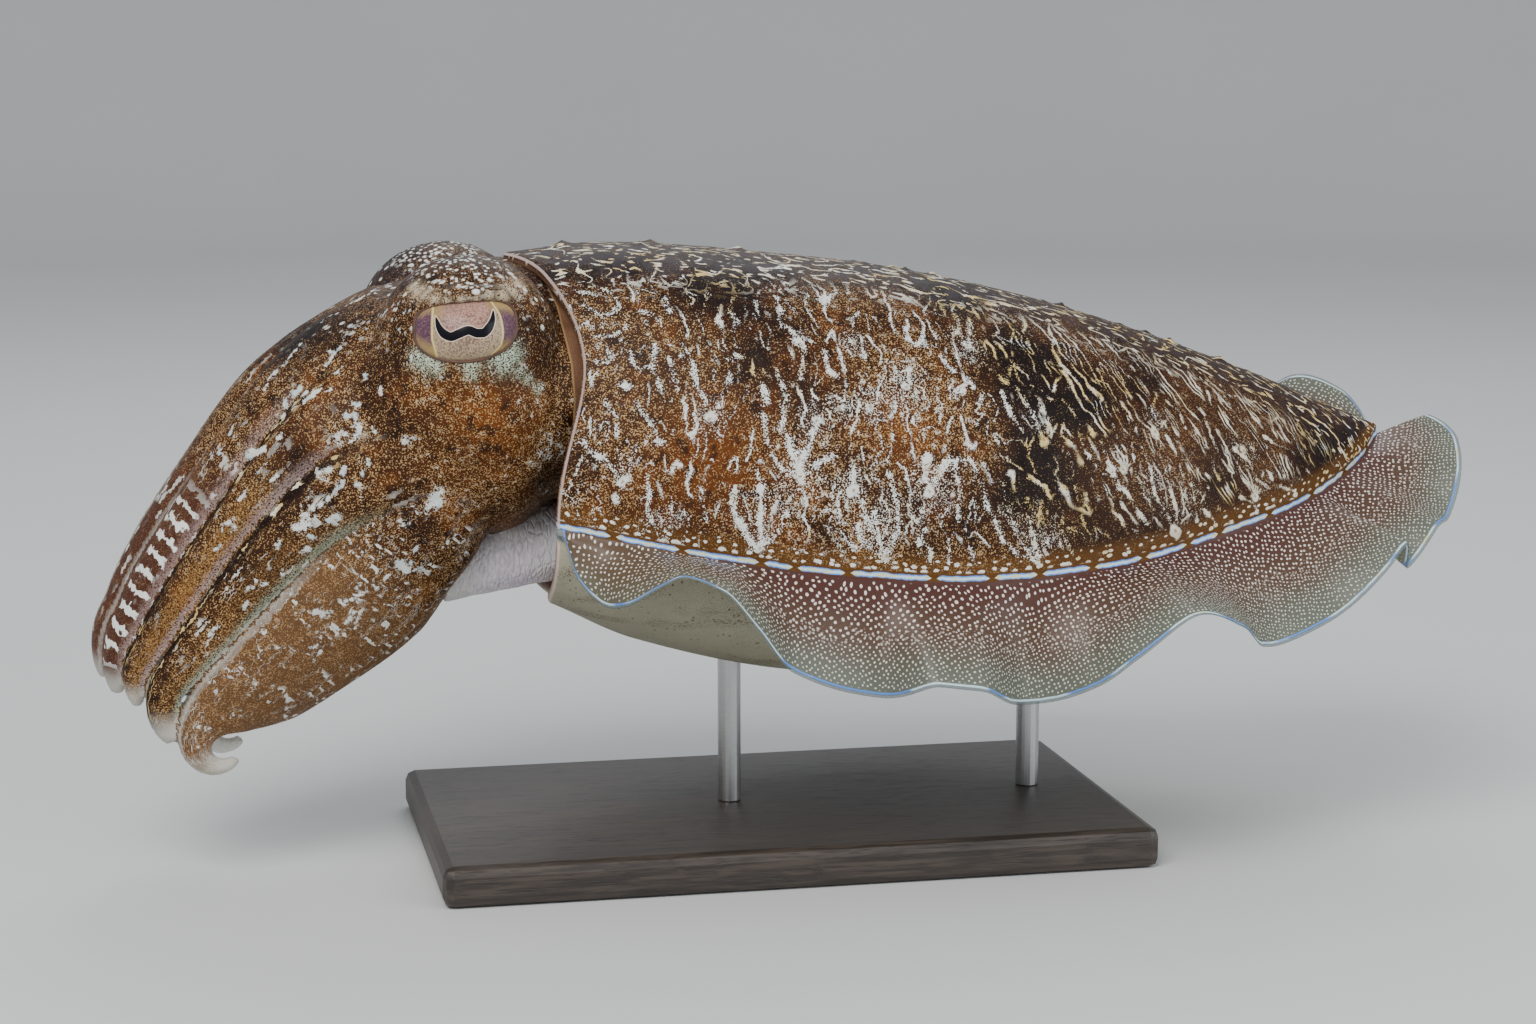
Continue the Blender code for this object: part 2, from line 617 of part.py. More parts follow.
def add_suckers(arm, side, pair, length, draw):
    first, last, count = SUCKER_PLACES[length]
    cups = []
    for number in range(count):
        share = (number + 0.5 * draw.uniform(0.0, SUCKER_VARIATION)) / (count - 1)
        t = first + (last - first) * min(share, 1.0)
        radius = through(SUCKER_RADIUS, t)[0] * (1.0 + draw.uniform(-SUCKER_VARIATION, SUCKER_VARIATION))
        row = SUCKER_ROW if number % 2 else -SUCKER_ROW
        cups.append(sucker(pair, side, t, row, radius))
    combine(arm, cups, "UNION")


def make_arm(side, pair, draw):
    """One arm in two lengths, parted by a thin cut."""
    total = sum(np.linalg.norm(arm_axis(t + 0.02)[0] - arm_axis(t)[0]) for t in np.arange(0, 0.98, 0.02))
    cut = GAP / MM / total
    end_places = np.linspace(ARM_END_FROM, 1.0, ARM_END_STEPS + 1)
    tip_places = np.linspace(ARM_SPLIT + cut / 2, ARM_END_FROM, ARM_TIP_STEPS + 1)
    stations = {
        "base": np.linspace(cut, ARM_SPLIT - cut / 2, ARM_BASE_STEPS + 1),
        "tip": np.concatenate([tip_places, end_places[1:]]),
    }
    for length, places in stations.items():
        rings = [arm_ring(pair, side, t) for t in places]
        end = None
        if length == "tip":
            middle = rings[-1].mean(axis=0)
            end = middle + (middle - rings[-2].mean(axis=0)) * ARM_END_ROUNDING
        arm = loft(f"arm_{side}_{pair}_{length}", rings, FLESH, end)
        add_suckers(arm, side, pair, length, draw)


# Mouth

def make_mouth():
    base, forward, up = arm_axis(0.0)
    angle = np.linspace(0.0, 2 * math.pi, 16, endpoint=False)[:, None]
    around = up * np.cos(angle) + np.array([0.0, 1.0, 0.0]) * np.sin(angle)
    rings = []
    lip = ((0.3, 1.0), (4.0, 0.98), (9.0, 0.8), (MOUTH_LENGTH, 0.45), (MOUTH_LENGTH - 3.0, 0.2))
    for along, radius in lip:
        rings.append(base + forward * along + around * radius * MOUTH_RADIUS)
    return loft("mouth", rings, PALE_FLESH)


# Stand

def cylinder(name, x, low, high, radius, look=None, sides=24):
    form = bmesh.new()
    wide = radius * MM
    bmesh.ops.create_cone(
        form, cap_ends=True, segments=sides, radius1=wide, radius2=wide, depth=(high - low) * MM)
    for vert in form.verts:
        vert.co.x += x * MM
        vert.co.z += (low + high) / 2 * MM
    return new_object(name, form, look)


def make_stand(mantle):
    board = bmesh.new()
    bmesh.ops.create_cube(board, size=1.0)
    for vert in board.verts:
        vert.co = [vert.co[i] * BASE_SIZE[i] * MM for i in range(3)]
        vert.co.z += BASE_SIZE[2] / 2 * MM
    board = new_object("stand_base", board, BASE_SURFACE)
    corners = board.modifiers.new("corners", "BEVEL")
    corners.width = BASE_EDGE * MM
    corners.segments = 2
    holes = []
    for number, x in enumerate(ROD_X, 1):
        top = through(BELLY_LINE, x)[0] + ROD_DEPTH
        cylinder(f"stand_rod_{number}", x, BASE_SIZE[2] + GAP / MM, top, ROD_RADIUS, ROD_SURFACE)
        holes.append(cylinder("hole", x, BASE_SIZE[2], top + GAP / MM, ROD_RADIUS + GAP / MM))
    combine(mantle, holes, "DIFFERENCE")


def main():
    for item in list(bpy.data.objects):
        bpy.data.objects.remove(item)
    bpy.context.scene.collection.children.link(bpy.data.collections.new("cuttlefish"))
    mantle = make_mantle()
    make_head()
    make_funnel()
    make_mouth()
    draw = random.Random(SEED)
    for side in SIDES:
        make_fin(side)
        make_eye(side)
        for pair in ARM_FILL:
            make_arm(side, pair, draw)
    make_stand(mantle)


if __name__ == "__main__":
    main()
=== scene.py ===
"""Dresses the common cuttlefish: skin and markings over its solids, eyes, suckers, a stand and a studio.

It is laid out as a Blender add-on and is run as a script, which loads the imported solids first.
Places inside the functions are in millimetres, in the frame of the solids: head to -X, left side to -Y.
"""
import itertools
import math
import random

import bpy
import numpy as np
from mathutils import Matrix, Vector
from mathutils import noise as field
from mathutils.kdtree import KDTree


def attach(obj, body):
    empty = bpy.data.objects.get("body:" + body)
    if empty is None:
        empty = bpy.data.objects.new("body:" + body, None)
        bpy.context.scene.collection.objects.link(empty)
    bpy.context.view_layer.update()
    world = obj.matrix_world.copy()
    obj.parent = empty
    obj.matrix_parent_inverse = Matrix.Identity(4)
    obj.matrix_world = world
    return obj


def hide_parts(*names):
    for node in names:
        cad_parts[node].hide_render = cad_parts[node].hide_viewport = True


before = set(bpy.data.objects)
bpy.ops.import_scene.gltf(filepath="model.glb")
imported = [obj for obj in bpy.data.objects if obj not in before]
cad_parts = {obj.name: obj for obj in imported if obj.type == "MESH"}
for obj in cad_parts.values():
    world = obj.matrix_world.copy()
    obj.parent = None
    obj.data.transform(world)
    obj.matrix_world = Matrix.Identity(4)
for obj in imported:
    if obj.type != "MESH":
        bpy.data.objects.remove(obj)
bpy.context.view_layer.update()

bl_info = {
    "name": "Common cuttlefish",
    "version": (1, 0, 0),
    "blender": (4, 5, 0),
    "location": "3D View > Sidebar > Cuttlefish",
    "description": "Skin, fins, arms, eyes and stand of a life-size common cuttlefish",
    "category": "Object",
}

MM = 0.001
NO_LIMIT = 100000.0
SIDES = {"left": -1.0, "right": 1.0}

# The photo's frame and the camera that matches it
PHOTO_WIDTH, PHOTO_HEIGHT = 1536, 1024
LENS, SENSOR = 70.0, 36.0
CAMERA_AZIMUTH, CAMERA_ELEVATION = math.radians(-12.0), math.radians(9.0)
CAMERA_DISTANCE = 896.0
CAMERA_TARGET = np.array([0.0, 0.0, 100.0])

# Mantle, as in the solids: (place along X, height)
FRONT_X, WIDEST_X, TAIL_X = -60.5, 35.0, 194.0
BACK_LINE = (
    (-60.5, 179.0), (-40.0, 181.5), (0.0, 178.0), (40.0, 172.5), (90.0, 160.5), (140.0, 143.5),
    (180.0, 127.0), (194.0, 121.0),
)
FIN_LINE = (
    (-60.5, 103.0), (-30.0, 96.0), (10.0, 89.5), (50.0, 86.5), (90.0, 88.5), (130.0, 95.5), (160.0, 102.0),
    (180.0, 109.5), (194.0, 117.5),
)
BELLY_LINE = (
    (-60.5, 77.0), (-40.0, 66.0), (0.0, 55.5), (40.0, 51.5), (90.0, 58.0), (140.0, 79.0), (180.0, 105.0),
    (194.0, 114.5),
)
WIDEST_HALF, FRONT_NARROWING, WIDEST_SHARE = 66.0, 16.0, 0.4
TAIL_TURN, TAIL_ROUNDING = math.radians(84.0), 1.5
SECTION_POWER, ROOT_BAND = 2.25, 4.0
EDGE_LOBES = ((0.0, -17.0), (0.12, -8.0), (0.3, 0.0), (0.5, -9.0), (0.75, -9.5), (1.0, -5.0))
EDGE_FADE_SHARE, EDGE_THICKNESS, CAVITY_X = 0.45, 3.5, -36.0
STATIONS_AHEAD, STATIONS_BEHIND = 86, 234
UPPER_STEPS, LOWER_STEPS, FIN_STEPS = 90, 24, 44
FIN_TOP_STRIDE, FIN_UNDER_STRIDE = 2, 4

# Fins, as in the solids: width, then droop below the horizontal in degrees, along the root
FIN_WIDTH = {
    "left": (
        (0.0, 5.0), (0.03, 15.0), (0.1, 25.0), (0.2, 30.0), (0.5, 34.0), (0.7, 36.0), (0.85, 34.0),
        (0.95, 27.0), (1.0, 18.0),
    ),
    "right": (
        (0.0, 5.0), (0.04, 15.0), (0.15, 27.0), (0.3, 32.0), (0.6, 35.0), (0.8, 35.0), (0.88, 31.0),
        (0.95, 23.0), (1.0, 14.0),
    ),
}
FIN_DROOP = {
    "left": (
        (0.0, 70.0), (0.03, 68.0), (0.066, 35.0), (0.1, 8.0), (0.127, -3.0), (0.16, 1.0), (0.194, 20.0),
        (0.23, 47.0), (0.325, 66.0), (0.38, 44.0), (0.415, 46.0), (0.461, 72.0), (0.5, 49.0), (0.52, 30.0),
        (0.56, 10.0), (0.6, 23.0), (0.635, 44.0), (0.66, 49.0), (0.7, 43.0), (0.75, 20.0), (0.772, 11.0),
        (0.797, 30.0), (0.838, 15.0), (0.875, 19.0), (0.915, 0.0), (0.96, -14.0), (1.0, -30.0),
    ),
    "right": (
        (0.0, 60.0), (0.06, 62.0), (0.13, 40.0), (0.18, 6.0), (0.23, 10.0), (0.3, 48.0), (0.38, 64.0),
        (0.47, 44.0), (0.53, 8.0), (0.57, 12.0), (0.64, 52.0), (0.7, 30.0), (0.76, -30.0), (0.82, -54.0),
        (0.87, -40.0), (0.93, 4.0), (1.0, 25.0),
    ),
}
FIN_EDGE_TURN, FIN_EDGE_THICKNESS = 12.0, 0.8

# Head, as in the solids: (place along X, centre height, half width, half height, forward tilt in degrees)
HEAD_SECTIONS = (
    (-36.3, 139.0, 35.0, 29.0, 0.0), (-55.0, 139.5, 38.5, 32.0, 4.0), (-70.0, 139.0, 43.0, 32.5, 9.0),
    (-88.0, 136.0, 49.0, 38.5, 18.0), (-103.5, 132.0, 46.5, 40.0, 28.0),
)
EYE_CENTRE = np.array([-95.5, 46.5, 161.5])
EYE_BULGE_CENTRE, EYE_BULGE_RADII = (-93.0, 31.0, 156.5), (25.5, 25.5, 24.0)

# Arms, as in the solids
ARM_AXIS = ((-103.5, 132.0), (-130.0, 118.0), (-158.0, 84.0), (-186.0, 46.0))
ARM_RING_UPPER = ((0.0, 40.0), (0.25, 41.0), (0.5, 36.0), (0.75, 30.5), (1.0, 20.0))
ARM_RING_LOWER = ((0.0, 41.0), (0.2, 48.0), (0.45, 50.5), (0.75, 42.0), (1.0, 24.0))
ARM_RING_WIDE = ((0.0, 46.0), (0.25, 44.0), (0.5, 39.0), (0.75, 31.0), (1.0, 20.0))
ARM_HOLLOW = ((0.0, 0.40), (0.3, 0.52), (0.6, 0.64), (0.85, 0.74), (1.0, 0.82))
ARM_EDGES = {
    "left": (
        (0.0, 0, 40, 76, 112, 154), (0.2, 8, 43, 73, 105, 157), (0.45, 14, 46, 69, 98, 176),
        (0.85, 16, 48, 70, 97, 172), (1.0, 16, 48, 70, 106, 160),
    ),
    "right": (
        (0.0, 0, 40, 76, 112, 154), (0.2, -8, 36, 71, 109, 154), (0.45, -14, 32, 66, 106, 182),
        (0.85, -16, 34, 66, 104, 178), (1.0, -16, 34, 66, 104, 156),
    ),
}
ARM_FILL = {
    1: ((0.0, 1.0), (0.7, 0.98), (0.9, 0.93), (0.97, 0.8), (1.0, 0.5)),
    2: ((0.0, 1.0), (0.6, 0.97), (0.9, 0.9), (0.97, 0.72), (1.0, 0.45)),
    3: ((0.0, 1.0), (0.35, 0.96), (0.85, 0.87), (0.95, 0.68), (1.0, 0.45)),
    4: ((0.0, 1.0), (0.5, 0.97), (0.8, 0.91), (0.86, 0.74), (0.9, 0.52), (0.94, 0.34), (1.0, 0.15)),
}
# The tip's curl to the rear: its start, its length in mm, its turn in degrees, and how late the turn comes
ARM_CURL = {
    1: (0.84, 21.0, 55.0, 1.0), 2: (0.87, 15.0, 58.0, 1.0),
    3: (0.87, 20.0, 74.0, 1.0), 4: (0.875, 36.0, 178.0, 1.6),
}
CURL_STEPS = 16
ARM_LEAN = {1: 0.0, 2: 0.0, 3: 0.0, 4: 0.75}
ARM_PROUD = {("right", 1): ((0.0, 0.0), (0.3, 0.0), (0.55, 0.8), (0.8, 1.5), (1.0, 1.5))}
ARM_OVERLAP = 0.5
ARM_SQUARENESS = ((0.0, 7.0), (0.15, 5.0), (0.35, 2.9), (0.7, 2.5), (1.0, 2.0))
ARM_STEPS, ARM_SIDES = 150, 40

# Funnel, as in the solids: (place along X, centre height, half width, half height)
FUNNEL_SECTIONS = (
    (-36.3, 95.0, 22.0, 10.5), (-60.0, 94.5, 18.5, 12.0), (-78.0, 92.5, 14.5, 12.5),
    (-90.0, 88.0, 11.0, 10.0), (-97.0, 84.0, 8.5, 7.5),
)
FUNNEL_WALL, FUNNEL_BORE = 1.6, 14.0
MOUTH_RADIUS, MOUTH_LENGTH = 12.0, 13.0

# Eye opening, seen from the side: half width, height above and below the eye's centre, and its slope
EYE_OPENING_HALF, EYE_OPENING_UP, EYE_OPENING_DOWN, EYE_OPENING_SLOPE = 13.6, 7.6, 7.8, 0.07
PUPIL_LINE = (
    (-8.3, 4.0), (-7.6, 1.3), (-6.2, -0.6), (-4.6, -1.2), (-2.5, -0.4), (0.1, 0.5), (2.5, -0.3),
    (4.0, -0.3), (5.7, 1.0), (7.0, 3.6), (7.3, 5.6),
)
PUPIL_HALF = 1.15
LEFT_ARC = ((-7.0, -8.2), (-4.2, -8.9), (-1.6, -9.5), (2.4, -9.3), (7.5, -8.5))
RIGHT_ARC = ((-7.0, 5.9), (-3.4, 9.2), (-0.3, 9.7), (3.7, 9.2), (7.5, 7.2))
FILLING_FORMS = (
    ((-72.0, 5.0, 166.0), (22.0, 25.0, 12.0)), ((-90.0, 32.0, 142.0), (23.0, 22.0, 25.0)),
    ((-104.0, 30.0, 141.0), (21.0, 20.0, 23.0)), ((-104.0, -30.0, 141.0), (21.0, 20.0, 23.0)),
    ((-90.0, -32.0, 142.0), (23.0, 22.0, 25.0)),
)
MOST_TRIANGLES = 190000

# Suckers in four rows along each arm
SUCKER_ROWS = (-0.6, -0.2, 0.2, 0.6)
SUCKER_FIRST, SUCKER_LAST, SUCKER_COUNT, SUCKER_SIDES = 0.08, 0.97, 26, 10
SUCKER_RADIUS = ((0.0, 1.5), (0.5, 1.3), (0.8, 0.9), (1.0, 0.45))

# Marks placed by photo pixel: (pixel x, pixel y, reach in mm, 1 for a fan of branches or 0 for a star)
SPLASHES = (
    (663, 543, 11, 1), (760, 550, 18, 1), (885, 557, 22, 1), (1038, 559, 19, 1), (1177, 530, 22, 1),
    (622, 483, 8, 1), (711, 421, 7, 0), (799, 478, 9, 0), (853, 492, 7, 0), (817, 423, 7, 0),
    (839, 408, 6, 0), (907, 388, 9, 0), (968, 346, 7, 0), (1043, 438, 9, 1), (928, 489, 9, 0),
    (1155, 430, 8, 1), (853, 340, 5, 0), (1255, 495, 12, 1), (870, 406, 6, 0), (988, 303, 5, 0),
    (1122, 468, 6, 1), (1243, 452, 7, 0),
)
# White streaks of the flank: half width in mm, then the photo pixels that each runs through
STREAKS = (
    (0.6, (582, 307), (600, 313), (613, 313), (618, 305), (612, 292), (603, 288)),
    (0.8, (575, 293), (596, 296)), (0.4, (590, 337), (598, 336), (610, 337), (620, 330)),
    (0.6, (595, 362), (606, 363), (613, 357), (607, 345)), (0.6, (643, 318), (650, 334), (654, 347)),
    (0.8, (668, 298), (665, 306), (670, 313)),
    (0.6, (628, 328), (625, 316), (632, 308), (641, 312), (650, 312)),
    (0.5, (712, 283), (705, 296), (702, 314)),
    (0.7, (737, 291), (730, 302), (729, 311), (735, 319), (731, 331)),
    (0.7, (755, 300), (756, 312), (750, 330)), (0.8, (775, 297), (779, 309), (778, 318), (782, 327)),
    (0.6, (785, 302), (797, 313), (803, 320), (804, 337)), (1.2, (795, 339), (813, 340)),
    (0.8, (785, 326), (797, 337)), (0.9, (804, 343), (805, 360), (801, 380)),
    (0.9, (657, 352), (655, 366), (656, 378), (659, 391)),
    (0.6, (630, 350), (633, 362), (640, 369), (648, 368)),
    (0.9, (691, 360), (693, 373), (700, 388), (705, 402), (709, 418)),
    (1.0, (730, 372), (725, 388), (714, 418)), (0.6, (684, 343), (688, 353), (680, 357)),
    (0.8, (670, 358), (672, 373), (678, 391)), (0.7, (715, 370), (715, 381)), (1.2, (761, 386), (768, 401)),
    (0.5, (746, 385), (743, 400)), (0.8, (777, 368), (781, 384), (786, 399)),
    (0.8, (730, 361), (737, 355), (745, 357)), (1.0, (824, 353), (828, 366), (835, 376)),
    (1.6, (622, 387), (629, 386)), (0.6, (604, 402), (614, 414)), (0.6, (634, 398), (640, 412), (650, 424)),
    (0.5, (652, 426), (654, 438), (660, 442)), (0.7, (584, 442), (590, 452)),
    (0.8, (592, 452), (606, 461), (616, 474), (622, 486)), (1.2, (655, 440), (663, 440)),
    (0.5, (618, 448), (622, 462), (624, 476)), (0.6, (636, 443), (630, 460), (626, 476)),
    (0.9, (708, 400), (711, 421)),
    (0.6, (646, 478), (648, 492), (649, 508), (651, 521), (657, 533), (661, 545)),
    (0.6, (651, 521), (642, 535)), (0.6, (672, 498), (672, 514), (669, 530), (662, 541)),
    (0.6, (699, 490), (703, 505), (707, 521)), (0.5, (686, 512), (690, 524), (684, 539)),
    (0.5, (571, 498), (577, 512), (581, 524)), (0.6, (590, 508), (593, 530)),
    (0.6, (593, 476), (598, 494), (603, 512)),
    (1.3, (735, 488), (732, 503), (738, 522), (746, 538), (756, 549)),
    (1.2, (763, 488), (761, 508), (760, 528), (761, 547)), (1.0, (787, 512), (777, 530), (766, 545)),
    (0.9, (765, 408), (763, 424), (766, 446)), (0.9, (783, 404), (784, 420), (781, 431)),
    (0.8, (757, 474), (758, 489)), (1.2, (789, 438), (793, 458), (798, 478)),
    (1.2, (816, 428), (810, 444), (802, 466), (799, 478)), (1.2, (772, 454), (785, 468), (798, 478)),
    (1.1, (834, 455), (818, 462), (799, 478)), (0.6, (816, 497), (822, 523)), (1.3, (855, 466), (853, 492)),
    (0.9, (843, 532), (853, 549)), (1.0, (860, 503), (870, 528)), (1.0, (852, 519), (863, 539), (884, 560)),
    (1.1, (875, 513), (880, 534), (885, 558)),
    (1.0, (890, 474), (893, 494), (899, 512), (899, 530), (892, 552)),
    (1.5, (927, 455), (926, 476), (928, 491)), (1.2, (945, 466), (928, 491)), (0.9, (948, 458), (970, 458)),
    (0.9, (957, 466), (953, 474)), (0.8, (957, 478), (960, 492), (957, 506), (959, 522)),
    (0.6, (973, 463), (980, 480), (990, 508), (995, 521)),
    (0.8, (994, 521), (1003, 540), (1016, 553), (1034, 560)),
    (0.7, (1004, 484), (1010, 514), (1019, 538), (1036, 559)), (0.9, (1029, 514), (1032, 531), (1038, 558)),
    (0.5, (1048, 510), (1050, 522), (1046, 540), (1040, 556)), (0.6, (1060, 503), (1062, 521)),
    (0.7, (1064, 530), (1059, 545)), (0.7, (1068, 542), (1073, 554), (1080, 556)),
    (0.6, (1093, 477), (1099, 494), (1104, 509)), (0.6, (1077, 430), (1083, 450), (1090, 458)),
    (0.7, (1026, 500), (1026, 513)), (0.5, (948, 538), (950, 562)), (0.5, (969, 544), (975, 562)),
    (1.0, (926, 529), (918, 543)), (0.7, (930, 548), (930, 563)), (0.9, (970, 318), (971, 334), (968, 346)),
    (0.8, (962, 343), (975, 349)), (0.8, (985, 362), (999, 374), (1008, 385)),
    (0.7, (1000, 391), (1008, 405), (1016, 421), (1023, 431)),
    (0.8, (1018, 390), (1026, 405), (1034, 420), (1042, 436)), (0.7, (1032, 384), (1042, 391), (1049, 400)),
    (0.6, (1062, 401), (1072, 411), (1081, 424)), (1.0, (942, 357), (952, 372)),
    (0.6, (1100, 440), (1108, 458), (1113, 474), (1121, 489)), (0.5, (1114, 422), (1117, 438)),
    (0.5, (1131, 443), (1134, 462)), (1.0, (1108, 460), (1116, 470), (1120, 488)),
    (0.7, (1103, 476), (1109, 470)), (0.8, (1126, 490), (1135, 507), (1150, 528)),
    (0.6, (1136, 428), (1142, 446), (1147, 462), (1153, 478), (1156, 493), (1163, 508), (1172, 526)),
    (0.5, (1161, 458), (1166, 472), (1171, 490)), (0.6, (1167, 434), (1176, 456), (1184, 478), (1191, 486)),
    (0.5, (1138, 478), (1143, 494), (1152, 508)), (0.8, (1171, 492), (1177, 512), (1177, 530)),
    (0.5, (1186, 440), (1197, 462)), (0.6, (1212, 455), (1215, 472), (1219, 480)),
    (0.6, (1201, 408), (1210, 434), (1219, 452)), (0.8, (1194, 498), (1197, 520)),
    (0.9, (1205, 508), (1213, 521)), (1.0, (1230, 520), (1237, 527)), (0.7, (1208, 490), (1222, 512)),
    (0.9, (1234, 448), (1250, 462)), (0.6, (1226, 434), (1243, 450)),
    (0.6, (1250, 462), (1256, 480), (1270, 489)), (0.7, (1240, 496), (1252, 502), (1259, 517)),
    (0.6, (1240, 430), (1252, 448), (1264, 462), (1272, 480)), (0.6, (1264, 436), (1277, 446), (1292, 450)),
    (0.5, (1292, 450), (1302, 466), (1318, 480)), (0.8, (1280, 488), (1296, 492)),
    (0.5, (1150, 380), (1156, 396), (1153, 410), (1156, 424)), (0.5, (1138, 404), (1144, 418)),
    (0.4, (1165, 368), (1180, 388), (1192, 404), (1206, 414)), (0.4, (1124, 355), (1134, 372), (1152, 382)),
    (0.4, (1200, 376), (1208, 390), (1213, 408)), (0.4, (1220, 386), (1230, 396), (1240, 412)),
    (0.5, (1166, 400), (1180, 412)), (0.5, (1182, 416), (1186, 430)),
    (0.5, (1232, 376), (1245, 388), (1264, 395)), (0.5, (1070, 452), (1078, 500)),
)
# White blots and lines of the head and arms, and the line where the head's pattern ends, by photo pixel
HEAD_STREAKS = (
    (0.9, (353, 416), (357, 430), (352, 440)), (0.9, (335, 436), (345, 434)), (0.7, (346, 413), (356, 420)),
    (0.5, (373, 425), (376, 432)), (0.8, (300, 388), (294, 396)), (1.1, (305, 400), (318, 389)),
    (0.5, (326, 390), (333, 390)), (0.8, (285, 400), (284, 416)), (1.4, (252, 455), (262, 449)),
    (0.9, (318, 472), (330, 471)), (0.6, (345, 468), (341, 474)), (1.0, (355, 486), (358, 486)),
    (0.5, (364, 472), (362, 478)), (0.7, (368, 461), (369, 464)), (0.9, (404, 440), (413, 438)),
    (0.4, (380, 389), (382, 393)), (0.6, (354, 403), (360, 406)), (0.7, (363, 374), (367, 377)),
    (0.5, (336, 372), (341, 367)), (0.4, (342, 338), (347, 334)), (0.7, (352, 327), (358, 327)),
    (0.5, (330, 351), (334, 353)), (1.6, (434, 498), (437, 503)), (0.5, (424, 512), (430, 505)),
    (0.5, (444, 490), (440, 497)), (0.7, (298, 527), (308, 514), (326, 500), (342, 482)),
    (0.9, (296, 529), (310, 523)), (0.5, (300, 505), (313, 491)), (1.1, (328, 521), (338, 518)),
    (0.6, (310, 538), (318, 537)), (0.7, (303, 551), (309, 550)), (1.5, (399, 564), (407, 571)),
    (0.5, (410, 563), (418, 545)), (0.5, (410, 568), (424, 571)), (0.6, (375, 586), (382, 597)),
    (0.5, (348, 602), (366, 593)), (0.6, (364, 610), (355, 626)), (0.5, (352, 612), (346, 623)),
    (0.5, (360, 584), (355, 595)), (0.6, (388, 574), (384, 581)), (0.9, (318, 612), (328, 612)),
    (0.5, (320, 636), (312, 646)), (0.5, (322, 652), (315, 661)), (0.6, (417, 590), (418, 593)),
    (0.7, (401, 520), (404, 525)), (0.6, (443, 546), (447, 541)), (0.6, (217, 452), (222, 455)),
    (0.5, (211, 452), (213, 456)), (0.5, (229, 433), (231, 428)), (0.5, (256, 475), (267, 464)),
    (0.4, (282, 433), (278, 439)), (0.5, (270, 479), (276, 475)), (0.6, (275, 545), (278, 541)),
    (0.5, (240, 498), (246, 490)), (0.5, (222, 530), (232, 520)), (0.5, (232, 534), (236, 526)),
    (0.4, (213, 552), (220, 546)), (0.6, (245, 606), (249, 601)), (0.6, (283, 575), (287, 572)),
    (0.6, (248, 590), (257, 580)), (0.5, (264, 585), (268, 583)), (0.5, (210, 634), (217, 628)),
    (0.4, (400, 282), (372, 292), (346, 306)), (0.4, (300, 345), (282, 366), (264, 390)),
    (0.3, (398, 302), (382, 316), (364, 329)), (0.4, (372, 291), (380, 287)), (0.5, (320, 324), (330, 316)),
    (0.4, (343, 345), (326, 366)), (0.4, (305, 392), (292, 410)), (0.6, (270, 378), (282, 366)),
    (0.4, (402, 311), (410, 309)), (0.5, (398, 330), (404, 334)), (0.5, (411, 352), (412, 358)),
)
COLLAR_LINE = (
    (529, 262), (544, 282), (556, 306), (562, 324), (571, 363), (575, 400), (572, 450), (560, 500),
)
# Broad changes of tone: (pixel x, pixel y, reach in mm, darker, warmer, paler)
FLANK_TONES = (
    (1022, 356, 15, 1.0, 0.0, 0.0), (1087, 398, 14, 1.0, 0.0, 0.0), (1045, 480, 16, 0.9, 0.1, 0.0),
    (1137, 392, 10, 0.7, 0.0, 0.0), (956, 300, 14, 0.8, 0.0, 0.0), (1314, 449, 9, 0.8, 0.0, 0.0),
    (1223, 492, 9, 0.6, 0.1, 0.0), (757, 366, 9, 0.6, 0.1, 0.0), (718, 290, 14, 0.7, 0.0, 0.0),
    (629, 262, 12, 0.5, 0.0, 0.0), (822, 536, 5, 0.7, 0.2, 0.0), (710, 462, 16, 0.3, 1.0, 0.0),
    (655, 492, 11, 0.1, 0.6, 0.0), (905, 432, 10, 0.1, 0.9, 0.0), (790, 360, 14, 0.4, 0.1, 0.0),
    (850, 520, 22, 0.0, 0.0, 0.7), (800, 470, 13, 0.0, 0.0, 0.6), (907, 385, 15, 0.0, 0.1, 0.7),
    (935, 492, 15, 0.0, 0.0, 0.7), (1286, 494, 11, 0.0, 0.4, 0.6), (1180, 505, 14, 0.0, 0.1, 0.5),
    (600, 470, 20, 0.0, 0.1, 0.35), (585, 330, 12, 0.0, 0.0, 0.3), (1090, 530, 14, 0.6, 0.1, 0.0),
)
HEAD_TONES = (
    (486, 414, 13, 0.0, 1.0, 0.0), (508, 440, 10, 0.1, 0.8, 0.0), (294, 439, 8, 0.3, 0.4, 0.0),
    (530, 385, 6, 0.0, 0.2, 0.4), (415, 275, 12, 0.5, 0.0, 0.0), (300, 335, 14, 0.5, 0.0, 0.0),
    (470, 262, 11, 0.5, 0.0, 0.0), (520, 374, 5, 0.0, 0.0, 0.4), (428, 363, 5, 0.0, 0.0, 1.0),
    (505, 360, 6, 0.0, 0.0, 1.0), (471, 368, 4, 0.0, 0.0, 0.8), (537, 397, 6, 0.0, 0.5, 0.6),
    (357, 434, 3, 0.0, 0.0, 1.1), (338, 436, 3, 0.0, 0.0, 0.9), (325, 471, 3, 0.0, 0.0, 1.1),
    (408, 441, 3, 0.0, 0.0, 0.9), (435, 500, 5, 0.0, 0.0, 1.1), (403, 568, 3, 0.0, 0.0, 1.0),
    (304, 524, 3, 0.0, 0.0, 1.1), (331, 521, 2, 0.0, 0.0, 1.0), (418, 290, 4, 0.0, 0.0, 1.0),
    # The last two marks, on the rear cheek by the collar, are partly its pinkish tan and partly painted light
    # against the shade there
    (515, 290, 5, 0.0, 0.0, 1.0), (460, 470, 16, 0.0, 0.4, 0.2), (552, 452, 8, 0.0, 0.2, 0.9),
    (544, 492, 7, 0.0, 0.1, 0.7),
)
